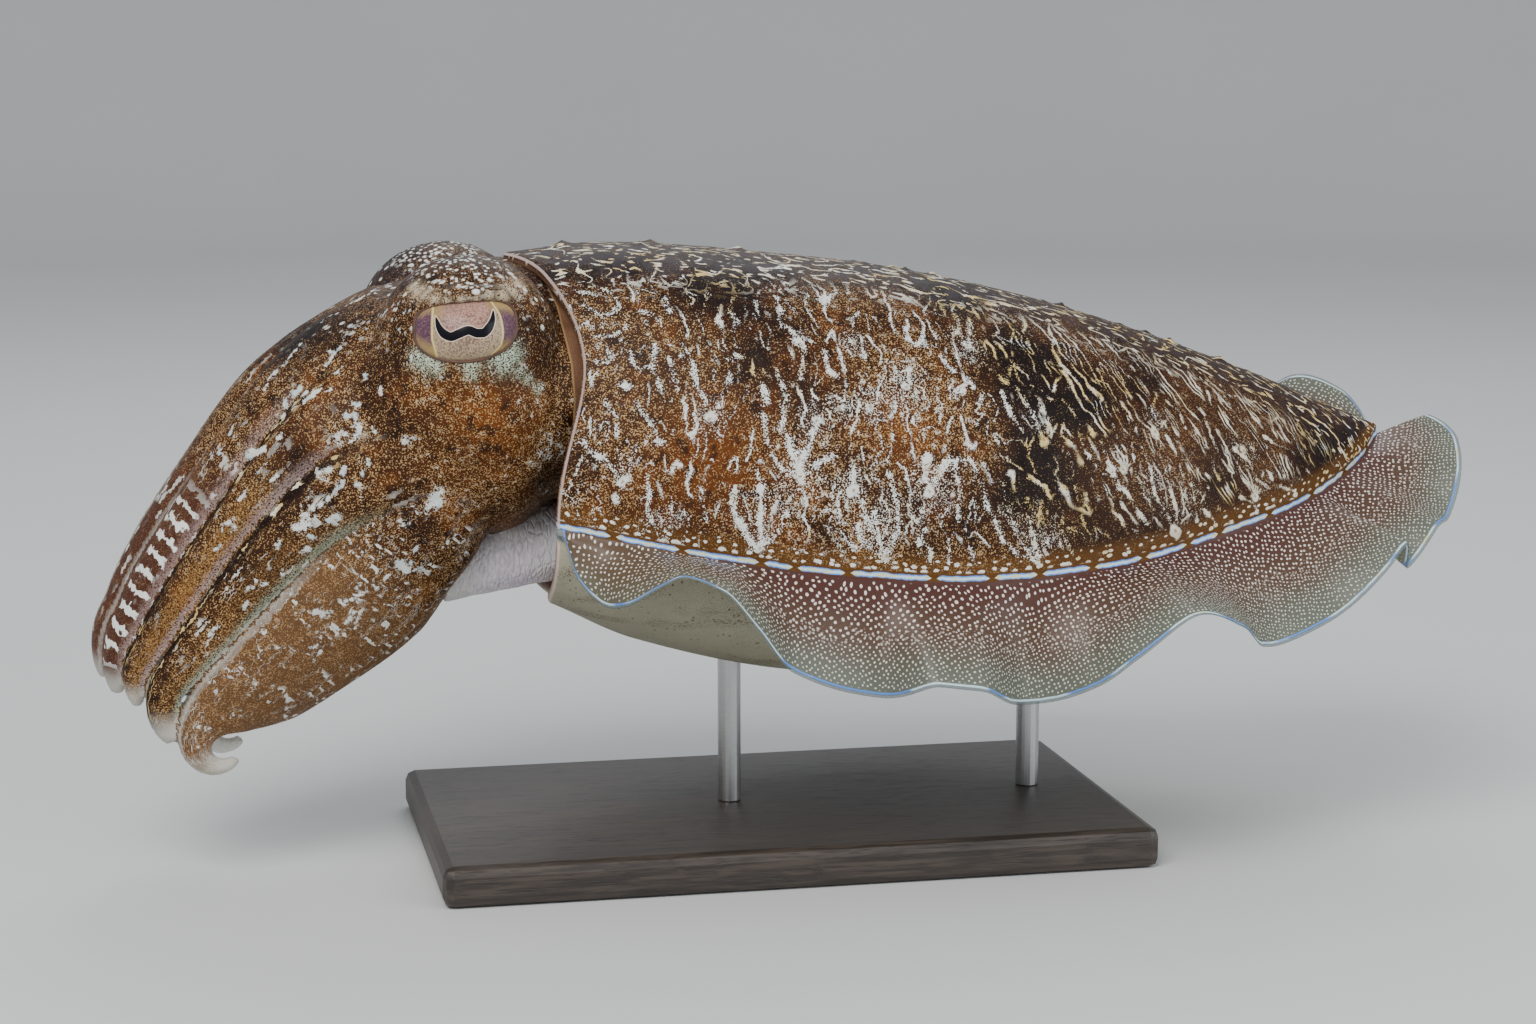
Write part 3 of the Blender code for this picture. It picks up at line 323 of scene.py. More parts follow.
# Pale flares beside the brow and greenish patches under the eye: (pixel x, pixel y, reach in mm)
FLARES = (
    (413, 286, 2.0), (418, 291, 2.2), (425, 295, 2.0), (434, 299, 1.6), (447, 300, 1.3), (462, 301, 1.3),
    (477, 300, 1.3), (490, 297, 1.5), (503, 295, 2.0), (511, 290, 2.4), (519, 284, 2.2),
)
LID_PATCHES = (
    (421, 360, 3.0), (430, 362, 3.5), (436, 366, 2.4), (498, 357, 3.0), (507, 361, 3.6), (512, 354, 3.0),
    (470, 366, 2.2), (473, 373, 1.8), (465, 364, 1.8), (521, 372, 1.6), (528, 380, 1.5), (537, 389, 1.5),
)
# Small raised warts: (pixel x, pixel y, reach in mm, height in mm)
WARTS = (
    (562, 243, 4.0, 1.3), (640, 245, 3.5, 1.2), (738, 250, 4.0, 1.3), (905, 268, 2.5, 0.8),
    (932, 273, 2.5, 0.8), (1063, 301, 3.5, 1.3), (1169, 341, 3.0, 1.2), (1219, 360, 3.5, 1.2),
    (711, 421, 2.2, 0.9), (817, 423, 2.0, 0.8), (885, 557, 2.0, 0.8), (760, 550, 2.0, 0.7),
    (1038, 559, 2.0, 0.8), (1177, 530, 2.0, 0.8), (907, 390, 2.2, 0.9), (1043, 438, 2.2, 0.9),
    (803, 340, 2.2, 0.8), (718, 368, 2.0, 0.9),
)
SEED = 11

# Smaller forms. FAR stands for a distance in mm that is too great to matter
FAR = 20.0
DEPTH_WEIGHT = 0.1
MIRROR_SHIFT, SPLASH_SHIFT, STREAK_REACH, FIN_MAP_GAP = 6.0, 7.0, 6.0, 900.0
QUARTER_SAMPLES = 361
FIN_START, FIN_TURN_FROM, FIN_ROOT_SHARE, FIN_EDGE_ROUNDING = (-0.002, 0.016), 0.3, 0.2, 14
TAIL_MARGIN, BELLY_RISE = 2.5, -8.0
WART_SLOPE, MANTLE_WARTS, HEAD_WARTS = 1.3, 260, 170
HEAD_STEPS, HEAD_SIDES, BROW_STEPS, BROW_SIDES, SOFT_LEVELS = 64, 120, 40, 16, 10
EYE_UPPER_POWER, EYE_LOWER_POWER = 3.4, 2.15
EYE_SIDES, EYE_STEPS, EYE_BACK, PUPIL_STEPS = 192, 48, -4.0, 400
FUNNEL_STEPS, FUNNEL_SIDES, MOUTH_SIDES, MOUTH_LOBES, SUCKER_LEVEL = 60, 96, 112, 7, -0.94
# How near in mm a point of the head counts wholly as an arm's, and how far it doesn't at all
ARM_REACH = (3.0, 9.0)
# Rings past an arm's last one: their size and how far ahead they lie in mm
ARM_END = ((0.85, 0.5), (0.5, 0.9))
# Layers of uneven skin: height in mm, size in mm and seed
MANTLE_RELIEF = ((0.22, 9.0, 1), (0.10, 3.5, 2))
HEAD_RELIEF = ((0.20, 8.0, 3), (0.10, 3.2, 4))
# Rings of mouth and beak: place along the arms' axis in mm, then the share of the mouth's radius or the
# radius in mm
MOUTH_PROFILE = (
    (0.3, 1.0), (2.0, 0.99), (4.0, 0.97), (6.5, 0.9), (9.0, 0.8), (11.0, 0.66), (12.4, 0.5),
    (MOUTH_LENGTH, 0.42), (12.4, 0.34), (11.0, 0.27), (9.0, 0.2),
)
BEAK_PROFILE = ((8.0, 2.6), (9.5, 2.3), (10.7, 1.6), (11.4, 0.7))

# Zones of the markings, each from where a mark starts to where it is full. On the mantle they are in mm:
# from the back's middle line, along the fin line from the front, and above the fin line
BACK_ZONE, FLANK_ZONE, FLECK_ZONE = (38.0, 20.0), (26.0, 36.0), (40.0, 26.0)
REAR_ZONE, FIN_FRONT_ZONE = (110.0, 200.0), (60.0, 25.0)
STREAKS_FROM, BAND_ZONE, PLAIN_FOOT = (7.0, 12.0), (9.0, 4.5), (2.7, 2.1)
ROW_FOOT, ROW_TOP = (2.2, 3.0), (8.5, 5.5)
LINE_HEIGHT, DASH_LENGTH, RIM_INSET = 1.0, 17.0, 1.2
CLEAR_OF_STREAK = (1.2, 2.6)
# On the head in mm: the heights and side of its top with a painted violet grey sheen, the spotted crown's
# heights and the brow's middle
SHEEN_TOP_HEIGHT, SHEEN_TOP_SIDE, CROWN_HEIGHT = (158.0, 176.0), (44.0, 30.0), (150.0, 166.0)
BROW_PLACE = (-96.0, 179.0)
# On an arm: its length and half girth in mm, then shares of its length or of its girth
ARM_LENGTH, ARM_GIRTH = 128.0, 14.0
OUTER_FACE, LEFT_TO_RIGHT, NEAR_SIDE = (-0.45, 0.15), (-1.0, 1.0), (0.5, -1.5)
UPPER_BAND, LOWER_EDGE, RIM_EDGE = (-0.50, -0.80), (0.48, 0.88), (0.86, 0.97)
GOLDEN_LOW, GOLDEN_HIGH = (-0.40, 0.15), (0.95, 0.6)
# Shine of the skin, fins and eyes, as a specular level
SKIN_SHINE, FIN_SHINE, EYE_SHINE = 0.12, 0.2, 0.14
# Sizes in mm of the brown ground's shades, patches, clumps and grains
SHADE_SIZE, PATCH_SIZE, CLUMP_SIZE, GRAIN_SIZE = 26.0, 5.5, 2.2, 0.42
WINDING_STEP, LEAST_SLOPE = 0.4, 0.04
FLOOR_BEND, FLOOR_STEPS = 0.28, 12
FIXED_INPUTS = {
    "specular": "Specular IOR Level", "metallic": "Metallic",
    "coat": "Coat Weight", "coat_roughness": "Coat Roughness",
}


# Curves, fields and places

def through(stations, at):
    """A smooth curve through (place, value, ...) stations, with no overshoot, read at each place."""
    table = np.array(stations, float)
    place, value = table[:, 0], table[:, 1:]
    step = np.diff(place)[:, None]
    rise = np.diff(value, axis=0) / step
    slope = np.zeros_like(value)
    together = rise[:-1] * rise[1:] > 0
    mean = np.zeros_like(rise[1:])
    mean[together] = (2 * rise[:-1] * rise[1:])[together] / (rise[:-1] + rise[1:])[together]
    slope[1:-1], slope[0], slope[-1] = mean, rise[0], rise[-1]
    at = np.clip(np.atleast_1d(np.asarray(at, float)), place[0], place[-1])
    i = np.clip(np.searchsorted(place, at) - 1, 0, len(place) - 2)
    h = step[i]
    t = (at - place[i])[:, None] / h
    near = (1 + 2 * t) * (1 - t) ** 2 * value[i] + t * (1 - t) ** 2 * h * slope[i]
    far = t * t * (3 - 2 * t) * value[i + 1] + t * t * (t - 1) * h * slope[i + 1]
    return (near + far)[:, 0] if value.shape[1] == 1 else near + far


def eased(value, low, high):
    """0 below low, 1 above high, and a smooth rise between them."""
    share = np.clip((np.asarray(value, float) - low) / (high - low), 0.0, 1.0)
    return share * share * (3.0 - 2.0 * share)


def camera_frame():
    """The camera's place in mm, and its right, up and backward directions."""
    a, e = CAMERA_AZIMUTH, CAMERA_ELEVATION
    back = np.array([math.sin(a) * math.cos(e), -math.cos(a) * math.cos(e), math.sin(e)])
    right = np.array([math.cos(a), math.sin(a), 0.0])
    return CAMERA_TARGET + CAMERA_DISTANCE * back, right, np.cross(right, -back), back


def photo_pixels(points):
    """Where points in mm fall in the photo, in its pixels."""
    eye, right, up, back = camera_frame()
    away = points - eye
    focal = PHOTO_WIDTH * LENS / SENSOR
    depth = -(away @ back)
    across = PHOTO_WIDTH / 2 + focal * (away @ right) / depth
    return np.stack([across, PHOTO_HEIGHT / 2 - focal * (away @ up) / depth], axis=-1)


def seen_at(marks, points, normals):
    """Index of the surface point that the camera sees at each mark's pixel, the nearer of two in line."""
    eye, _, _, back = camera_frame()
    facing = np.flatnonzero(np.einsum("ij,ij->i", normals, eye - points) > 0)
    pixels = photo_pixels(points[facing])
    depth = DEPTH_WEIGHT * ((eye - points[facing]) @ back)
    return [int(facing[np.argmin(np.hypot(*(pixels - mark[:2]).T) + depth)]) for mark in marks]


def both_sides(centres, values, shift=MIRROR_SHIFT):
    """The marks of the side that the photo shows, and the same marks with a small shift on the other side."""
    draw = random.Random(SEED)
    mirrored = []
    for centre in centres:
        moved = np.array([draw.uniform(-shift, shift), 0.0, draw.uniform(-shift, shift) / 2])
        mirrored.append(centre * (1.0, -1.0, 1.0) + moved)
    return list(centres) + mirrored, list(values) * 2


def tone_field(marks, points, normals):
    """Darker, warmer and paler shares at each point, from the broad marks on both sides."""
    centres = points[seen_at(marks, points, normals)]
    tones = np.zeros((len(points), 3))
    for centre, mark in zip(*both_sides(centres, marks)):
        near = np.exp(-(np.linalg.norm(points - centre, axis=1) / mark[2]) ** 2)
        tones = np.maximum(tones, near[:, None] * np.array(mark[3:6]))
    return tones


# Meshes

def select_only(piece):
    """Selects the piece alone and makes it active."""
    bpy.ops.object.select_all(action="DESELECT")
    piece.select_set(True)
    bpy.context.view_layer.objects.active = piece


def shaped_grid(name, points):
    """A grid primitive with its points moved to the places in mm in an array of rows and columns."""
    rows, columns = points.shape[:2]
    bpy.ops.object.select_all(action="DESELECT")
    bpy.ops.mesh.primitive_grid_add(x_subdivisions=columns - 1, y_subdivisions=rows - 1, size=1.0)
    made = bpy.context.object
    made.name = made.data.name = name
    made.data.vertices.foreach_set("co", (points * MM).astype(np.float32).ravel())
    made.data.update()
    return made


def write_attribute(piece, name, values):
    """One value or one vector at each point of the mesh."""
    values = np.asarray(values, np.float32)
    kind, key = {1: ("FLOAT", "value"), 3: ("FLOAT_VECTOR", "vector"), 4: ("FLOAT_COLOR", "color")}[
        1 if values.ndim == 1 else values.shape[1]]
    layer = piece.data.attributes.new(name, kind, "POINT")
    layer.data.foreach_set(key, values.ravel())


def closed_up(piece, distance=0.004):
    """Joins the points that meet, and turns all faces outward."""
    select_only(piece)
    bpy.ops.object.mode_set(mode="EDIT")
    bpy.ops.mesh.select_all(action="SELECT")
    bpy.ops.mesh.remove_doubles(threshold=distance * MM)
    bpy.ops.mesh.normals_make_consistent(inside=False)
    bpy.ops.object.mode_set(mode="OBJECT")
    bpy.ops.object.shade_smooth()


def capped(rings):
    """Rings with their first points repeated at the end, and each end drawn together to a point."""
    rings = np.asarray(rings, float)
    rings = np.concatenate([rings, rings[:, :1]], axis=1)
    ends = [np.repeat(ring.mean(axis=0)[None], rings.shape[1], axis=0) for ring in (rings[0], rings[-1])]
    return np.concatenate([ends[0][None], rings, ends[1][None]])


def tube(name, rings):
    """One closed body through rings of equally many points."""
    made = shaped_grid(name, capped(rings))
    closed_up(made)
    return made


def ball(name, centre, radii):
    """An ellipsoid with its centre and radii in mm."""
    bpy.ops.object.select_all(action="DESELECT")
    bpy.ops.mesh.primitive_uv_sphere_add(segments=64, ring_count=40, radius=1.0)
    made = bpy.context.object
    made.name = made.data.name = name
    set_points(made, mesh_points(made, 1.0) * radii + centre)
    return made


def mesh_points(piece, unit=MM):
    """The places of the mesh's points, in mm unless another unit is given."""
    points = np.empty(len(piece.data.vertices) * 3, np.float32)
    piece.data.vertices.foreach_get("co", points)
    return points.reshape(-1, 3).astype(float) / unit


def mesh_normals(piece):
    """The outward directions at the mesh's points."""
    normals = np.empty(len(piece.data.vertices) * 3, np.float32)
    piece.data.vertices.foreach_get("normal", normals)
    return normals.reshape(-1, 3).astype(float)


def set_points(piece, points):
    """Moves the mesh's points to places in mm."""
    piece.data.vertices.foreach_set("co", (points * MM).astype(np.float32).ravel())
    piece.data.update()


def finish_with(piece, kind, **settings):
    """Adds a modifier to the piece and applies it."""
    select_only(piece)
    step = piece.modifiers.new(kind.lower(), kind)
    for name, value in settings.items():
        setattr(step, name, value)
    bpy.ops.object.modifier_apply(modifier=step.name)


def joined(pieces, name):
    """One piece made of all the pieces."""
    bpy.ops.object.select_all(action="DESELECT")
    for piece in pieces:
        piece.select_set(True)
    bpy.context.view_layer.objects.active = pieces[0]
    bpy.ops.object.join()
    pieces[0].name = pieces[0].data.name = name
    return pieces[0]


def dress(piece, finish, slot, *nodes):
    """Gives the piece its finish and its place on the frame."""
    piece.data.materials.clear()
    piece.data.materials.append(finish)
    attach(piece, "root")
    if nodes:
        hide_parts(*nodes)


def relief(points, size, seed):
    """A smooth random height from about -1 to 1 at each point, with bumps of that size in mm."""
    shift = Vector((seed * 17.3, seed * 5.1, -seed * 9.7))
    return np.array([field.noise(Vector(p) / size + shift) for p in points])


# Mantle and fins

def mantle_station(share):
    """Place along X and half width at a share of the way from the front edge to the tail."""
    share = np.atleast_1d(np.asarray(share, float))
    ahead = np.clip(share / WIDEST_SHARE, 0.0, 1.0)
    turn = np.clip((share - WIDEST_SHARE) / (1.0 - WIDEST_SHARE), 0.0, 1.0) * TAIL_TURN
    x = FRONT_X + (WIDEST_X - FRONT_X) * ahead + (TAIL_X - WIDEST_X) * np.sin(turn)
    half = (WIDEST_HALF - FRONT_NARROWING * (1.0 - ahead) ** 2) * np.cos(turn) ** TAIL_ROUNDING
    return x, half


def edge_lobe(share, round_share):
    """How far a mantle point is moved forward so that the free edge has its lobes."""
    return through(EDGE_LOBES, round_share) * np.clip(1.0 - share / EDGE_FADE_SHARE, 0.0, 1.0) ** 2


def unevenness(points, layers):
    """The sum of layers of relief, each with its height and size in mm and its seed."""
    return sum(height * relief(points, size, seed) for height, size, seed in layers)


def add_small_warts(height, points, chosen, draw, reaches, rises):
    """Raises the heights in small warts round the chosen points."""
    for centre in points[chosen]:
        reach, rise = draw.uniform(*reaches), draw.uniform(*rises)
        near = np.flatnonzero(np.abs(points[:, 0] - centre[0]) < reach)
        away = np.linalg.norm(points[near] - centre, axis=1) / reach
        height[near] = np.maximum(height[near], rise * np.clip(1.0 - away, 0.0, 1.0) ** WART_SLOPE)


def quarter(share, x, half, near, far, start, steps):
    """A quarter of a ring at even steps, from the middle line to the fin band, and the way along it."""
    angle = np.linspace(0.0, math.pi / 2, QUARTER_SAMPLES)
    power = 2.0 / SECTION_POWER
    out, high = half * np.sin(angle) ** power, near + (far - near) * np.cos(angle) ** power
    way = np.concatenate([[0.0], np.cumsum(np.hypot(np.diff(out), np.diff(high)))])
    even = np.linspace(0.0, way[-1], steps + 1)
    angle = np.interp(even, way, angle)
    round_share = angle / math.pi if start == "back" else 1.0 - angle / math.pi
    place = x + edge_lobe(share, round_share)
    return np.stack([place, -np.interp(even, way, out), np.interp(even, way, high)], axis=1), even


def fin_sheet(side, share):
    """The fin's middle surface, [station][step across], its normals and its width."""
    x, half = mantle_station(share)
    root = np.stack([x + edge_lobe(share, 0.5), -half, through(FIN_LINE, x)], axis=1)
    along = np.gradient(root[:, :2], axis=0)
    out = np.stack([-along[:, 1], along[:, 0], np.zeros(len(x))], axis=1)
    out /= -np.linalg.norm(out, axis=1)[:, None]
    width = through(FIN_WIDTH[side], share) * eased(share, *FIN_START)
    droop = np.radians(through(FIN_DROOP[side], share))
    level = np.array([0.0, 0.0, 1.0])
    rows = [root]
    for step in range(FIN_STEPS):
        angle = droop + math.radians(FIN_EDGE_TURN) * ((step + 0.5) / FIN_STEPS - FIN_TURN_FROM)
        way = out * np.cos(angle)[:, None] - level * np.sin(angle)[:, None]
        rows.append(rows[-1] + way * (width / FIN_STEPS)[:, None])
    sheet = np.stack(rows, axis=1) * (1.0, -SIDES[side], 1.0)
    normal = np.cross(np.gradient(sheet, axis=0), np.gradient(sheet, axis=1))
    length = np.linalg.norm(normal, axis=2)[:, :, None]
    normal = np.where(length > 1e-9, normal / np.maximum(length, 1e-9), level)
    normal *= np.where(normal[:, :1, 2:] < 0, -1.0, 1.0)
    free = eased(np.linspace(0.0, 1.0, FIN_STEPS + 1), 0.0, FIN_ROOT_SHARE)[None, :, None]
    normal = normal * free + level * (1.0 - free)
    return sheet, normal / np.linalg.norm(normal, axis=2)[:, :, None], width


def flattened(sheet):
    """A flat map in mm that keeps a thin sheet's angles, unwrapped from a grid of every second point."""
    coarse = sheet[::2, ::2]
    piece = shaped_grid("flat_map", coarse)
    select_only(piece)
    bpy.ops.object.mode_set(mode="EDIT")
    bpy.ops.mesh.select_all(action="SELECT")
    bpy.ops.uv.unwrap(method="CONFORMAL", margin=0.0)
    bpy.ops.object.mode_set(mode="OBJECT")
    mesh = piece.data
    corner = np.empty(len(mesh.loops), np.int32)
    mesh.loops.foreach_get("vertex_index", corner)
    flat = np.empty(len(mesh.loops) * 2, np.float32)
    mesh.uv_layers.active.data.foreach_get("uv", flat)
    places = np.zeros((len(mesh.vertices), 2))
    places[corner] = flat.reshape(-1, 2)
    places = places.reshape(*coarse.shape[:2], 2)
    real = np.linalg.norm(np.diff(coarse, axis=1), axis=2)
    drawn = np.linalg.norm(np.diff(places, axis=1), axis=2)
    places *= np.median(real[drawn > 0] / drawn[drawn > 0])
    bpy.data.meshes.remove(mesh)
    full = np.zeros((*sheet.shape[:2], 2))
    rows, columns = np.arange(sheet.shape[0]), np.arange(sheet.shape[1])
    for k in range(2):
        across = np.stack([np.interp(columns, columns[::2], row) for row in places[:, :, k]])
        full[:, :, k] = np.stack([np.interp(rows, rows[::2], column) for column in across.T], axis=1)
    return full


def body_side(side, share):
    """Half of every ring, from the back's middle out over the fin and in to the belly's middle.

    Returns four arrays of the same rows and columns: places; (along, down, rise); (share across the fin,
    distance from its edge, 1 on an under side); and the fin's flat map. The last row closes the tail.
    """
    x, half = mantle_station(share)
    sheet, normal, width = fin_sheet(side, share)
    flat = flattened(sheet)
    across = np.linspace(0.0, 1.0, FIN_STEPS + 1)
    tops = np.arange(0, FIN_STEPS + 1, FIN_TOP_STRIDE)
    unders = np.arange(FIN_STEPS - FIN_UNDER_STRIDE, 0, -FIN_UNDER_STRIDE)
    steps = np.concatenate([tops, unders])
    on_under = np.repeat([0.0, 1.0], [len(tops), len(unders)])
    along = np.concatenate([[0.0], np.cumsum(np.linalg.norm(np.diff(sheet[:, 0], axis=0), axis=1))])
    row_way = np.linalg.norm(np.diff(sheet, axis=0), axis=2)
    to_tail = np.concatenate([np.cumsum(row_way[::-1], axis=0)[::-1], np.zeros((1, FIN_STEPS + 1))])
    edge = np.minimum(width[:, None] * (1.0 - across), to_tail + TAIL_MARGIN)
    back_line, fin_line, belly_line = (through(line, x) for line in (BACK_LINE, FIN_LINE, BELLY_LINE))
    band = np.minimum(ROOT_BAND, 0.5 * (back_line - belly_line)) / 2
    thick = band[:, None] * (1.0 - across ** 0.5) + FIN_EDGE_THICKNESS / 2 * across ** 0.5
    thick = (thick * np.sqrt(1.0 - across ** FIN_EDGE_ROUNDING))[:, :, None]
    top, under = sheet + normal * thick, sheet - normal * thick
    sign = -SIDES[side]
    mirror = np.array([1.0, sign, 1.0])

    def round_ring(above, values, beneath):
        """One value at each point of a ring: the fin's own, with one above the fin and one beneath it."""
        return np.concatenate([np.full(UPPER_STEPS, above), values, np.full(LOWER_STEPS + 1, beneath)])

    rows = []
    for i, station in enumerate(zip(share, x, half)):
        upper, down = quarter(*station, fin_line[i] + band[i], back_line[i], "back", UPPER_STEPS)
        lower, up = quarter(*station, fin_line[i] - band[i], belly_line[i], "belly", LOWER_STEPS)
        lower, up = (lower * mirror)[::-1], up[-1] - up[::-1]
        flank = down[-1]
        place = np.concatenate([(upper * mirror)[:-1], top[i, tops], under[i, unders], lower])
        ring_way = np.concatenate([down[:-1], np.full(len(steps), flank), flank + up])
        rise = np.concatenate([flank - down[:-1], -width[i] * across[steps], BELLY_RISE - up])
        fin_facts = [
            round_ring(0.0, across[steps], 0.0), round_ring(FAR, edge[i, steps], FAR),
            round_ring(0.0, on_under, 1.0)]
        spots = [round_ring(first, flat[i, steps, k], first) for k, first in enumerate(flat[i, 0])]
        rows.append((
            place, np.stack([np.full(len(place), along[i]), sign * ring_way, rise], axis=1),
            np.stack(fin_facts, axis=1), np.stack([*spots, np.zeros(len(place))], axis=1),
        ))
    places, lines, fins, maps = (np.array([row[k] for row in rows]) for k in range(4))
    centre = np.array([[x[-1] + 0.5, 0.0, fin_line[-1]]])
    close = np.concatenate([
        np.repeat(centre, UPPER_STEPS, axis=0), sheet[-1, steps], sheet[-1, :1],
        np.repeat(centre, LOWER_STEPS, axis=0)])
    places = np.concatenate([places, close[None]])
    return places, *(np.concatenate([part, part[-1:]]) for part in (lines, fins, maps))


def split_finishes(piece):
    """Gives the second finish to the faces that reach out onto a fin."""
    count = len(piece.data.vertices)
    fins = np.empty(count * 3, np.float32)
    piece.data.attributes["fin"].data.foreach_get("vector", fins)
    on_fin = fins.reshape(-1, 3)[:, 0] > 0.0
    kinds = [int(any(on_fin[v] for v in face.vertices)) for face in piece.data.polygons]
    piece.data.polygons.foreach_set("material_index", kinds)
    piece.data.update()


def front_lining(edge):
    """Rings from the cavity's end out along its wall and round the edge's lip, and how far inside each is."""
    middle = edge.mean(axis=0)
    away = edge - middle
    reach = np.maximum(np.linalg.norm(away[:, 1:], axis=1)[:, None], 1.0)
    steps = [(EDGE_THICKNESS + 3.0, CAVITY_X, 1.0), (EDGE_THICKNESS + 1.0, 9.0, 1.0)]
    for turn in (150.0, 120.0, 90.0, 60.0, 30.0):
        angle = math.radians(turn)
        steps.append((
            EDGE_THICKNESS / 2 * (1.0 - math.cos(angle)), -EDGE_THICKNESS * 0.35 * math.sin(angle),
            turn / 180.0))
    rings = []
    for depth, back, _ in steps:
        ring = middle + away * (1.0 - depth / reach)
        ring[:, 0] = back if back == CAVITY_X else edge[:, 0] + back
        rings.append(ring)
    end = np.repeat(rings[0].mean(axis=0)[None], len(edge), axis=0)
    return np.array([end] + rings), np.array([1.0] + [step[2] for step in steps])


def make_body_skin():
    """The mantle and both fins as one skin, closed at the tail and lined at the front opening."""
    share = np.concatenate([
        np.linspace(0.0, WIDEST_SHARE, STATIONS_AHEAD + 1),
        np.linspace(WIDEST_SHARE, 1.0, STATIONS_BEHIND + 1)[1:],
    ])
    left, right = (body_side(side, share) for side in SIDES)
    places, lines, fins, maps = (np.concatenate([a, b[:, -2::-1]], axis=1) for a, b in zip(left, right))
    maps[:, places.shape[1] // 2:, 0] += FIN_MAP_GAP
    lining, depth = front_lining(places[0])
    points = np.concatenate([lining, places])
    lines, fins, maps = (
        np.concatenate([np.repeat(part[:1], len(lining), axis=0), part]).reshape(-1, 3)
        for part in (lines, fins, maps))
    inside = np.zeros(points.shape[:2])
    inside[:len(lining)] = depth[:, None]
    piece = shaped_grid("body_skin", points)
    points, normals, inside = points.reshape(-1, 3), mesh_normals(piece), inside.ravel()
    widest = np.argmin(points[:, 1])
    if normals[widest, 1] > 0:
        normals = -normals
    upper = (fins[:, 0] <= 0.0) & (fins[:, 2] < 0.5) & (inside < 0.05)
    points = raise_warts(points, normals, upper)
    set_points(piece, points)
    for name, values in {
        "place": lines, "fin": fins, "fin_map": maps, "inside": inside,
        "tone": tone_field(FLANK_TONES, points, normals),
        "splash": splash_field(points, normals, lines, upper),
        "streak": streak_field(STREAKS, points, normals, upper),
    }.items():
        write_attribute(piece, name, values)
    closed_up(piece)
    return piece


def raise_warts(points, normals, upper):
    """Lifts the skin in small warts, with a faint unevenness between them."""
    centres = points[seen_at(WARTS, points, normals)]
    height = np.zeros(len(points))
    for centre, wart in zip(*both_sides(centres, WARTS)):
        away = np.linalg.norm(points - centre, axis=1) / wart[2]
        height = np.maximum(height, wart[3] * np.clip(1.0 - away, 0.0, 1.0) ** 1.5)
    draw = np.random.default_rng(SEED)
    index = np.flatnonzero(upper)
    chosen = draw.choice(index, MANTLE_WARTS, replace=False)
    add_small_warts(height, points, chosen, draw, (1.6, 2.8), (0.2, 0.5))
    height[index] += unevenness(points[index], MANTLE_RELIEF)
    lifted = points.copy()
    lifted[index] += normals[index] * height[index, None]
    return lifted


def splash_field(points, normals, lines, upper):
    """Each point's offset from the nearest white splash in mm, with the splash's weight there.

    A weight above zero belongs to a fan, and one below zero to a star.
    """
    chosen = seen_at(SPLASHES, points, normals)
    draw = random.Random(SEED + 1)
    centres = [(lines[k][0], lines[k][1], mark[2], mark[3]) for k, mark in zip(chosen, SPLASHES)]
    centres += [
        (a + draw.uniform(-SPLASH_SHIFT, SPLASH_SHIFT), -d, reach, kind) for a, d, reach, kind in centres]
    centres = np.array(centres)
    offset = lines[:, None, :2] - centres[None, :, :2]
    away = np.linalg.norm(offset, axis=2) / centres[None, :, 2]
    order = np.argsort(away, axis=1)[:, :2]
    nearest = order[:, 0]
    index = np.arange(len(lines))
    first, second = away[index, nearest], away[index, order[:, 1]]
    weight = eased(1.0 - first, 0.0, 0.35) * eased(second - first, 0.05, 0.35) * upper
    sign = np.where(centres[nearest, 3] > 0.5, 1.0, -1.0)
    down = offset[index, nearest, 1] * np.sign(lines[:, 1] + 1e-9)
    return np.stack([offset[index, nearest, 0], down, weight * sign], axis=1)


def streak_field(streaks, points, normals, region):
    """Distance in mm outside the nearest placed streak, on the side that the photo shows and on the other."""
    chosen = points[seen_at([spot for streak in streaks for spot in streak[1:]], points, normals)]
    index = np.flatnonzero(region)
    place, nearest = points[index], np.full(len(index), FAR)
    shift = np.zeros((len(chosen), 3))
    shift[:, 0] = 5.0 + 3.0 * np.sin(chosen[:, 0] / 9.0)
    for stops in (chosen, chosen * (1.0, -1.0, 1.0) + shift):
        stops = iter([place[np.argmin(((place - stop) ** 2).sum(axis=1))] for stop in stops])
        for half, *spots in streaks:
            line = np.array([next(stops) for _ in spots])
            low, high = line.min(axis=0) - STREAK_REACH, line.max(axis=0) + STREAK_REACH
            near = np.flatnonzero(((place > low) & (place < high)).all(axis=1))
            for first, last in zip(line, line[1:]):
                way = last - first
                share = np.clip((place[near] - first) @ way / max(way @ way, 1e-6), 0.0, 1.0)
                away = np.linalg.norm(place[near] - first - share[:, None] * way, axis=1)
                nearest[near] = np.minimum(nearest[near], away - half)
    found = np.full(len(points), FAR)
    found[index] = nearest
    return found


def behind_collar(points, normals):
    """How far in mm each point of the head lies behind the line where its pattern ends."""
    line = points[seen_at(COLLAR_LINE, points, normals)]
    line = line[np.argsort(line[:, 2])]
    return points[:, 0] - np.interp(points[:, 2], line[:, 2], line[:, 0])


# Head and arms

def head_rings():
    """The head's rings, from inside the mantle to the arms' bases."""
    place = np.linspace(0.0, len(HEAD_SECTIONS) - 1.0, HEAD_STEPS)
    sections = [(i, *row) for i, row in enumerate(HEAD_SECTIONS)]
    x, centre, half_width, half_height, tilt = through(sections, place).T[:, :, None]
    angle = np.linspace(0.0, 2 * math.pi, HEAD_SIDES, endpoint=False)
    lean, high = np.radians(tilt), half_height * np.cos(angle)
    return np.stack([
        x - high * np.sin(lean), half_width * np.sin(angle), centre + high * np.cos(lean)], axis=2)


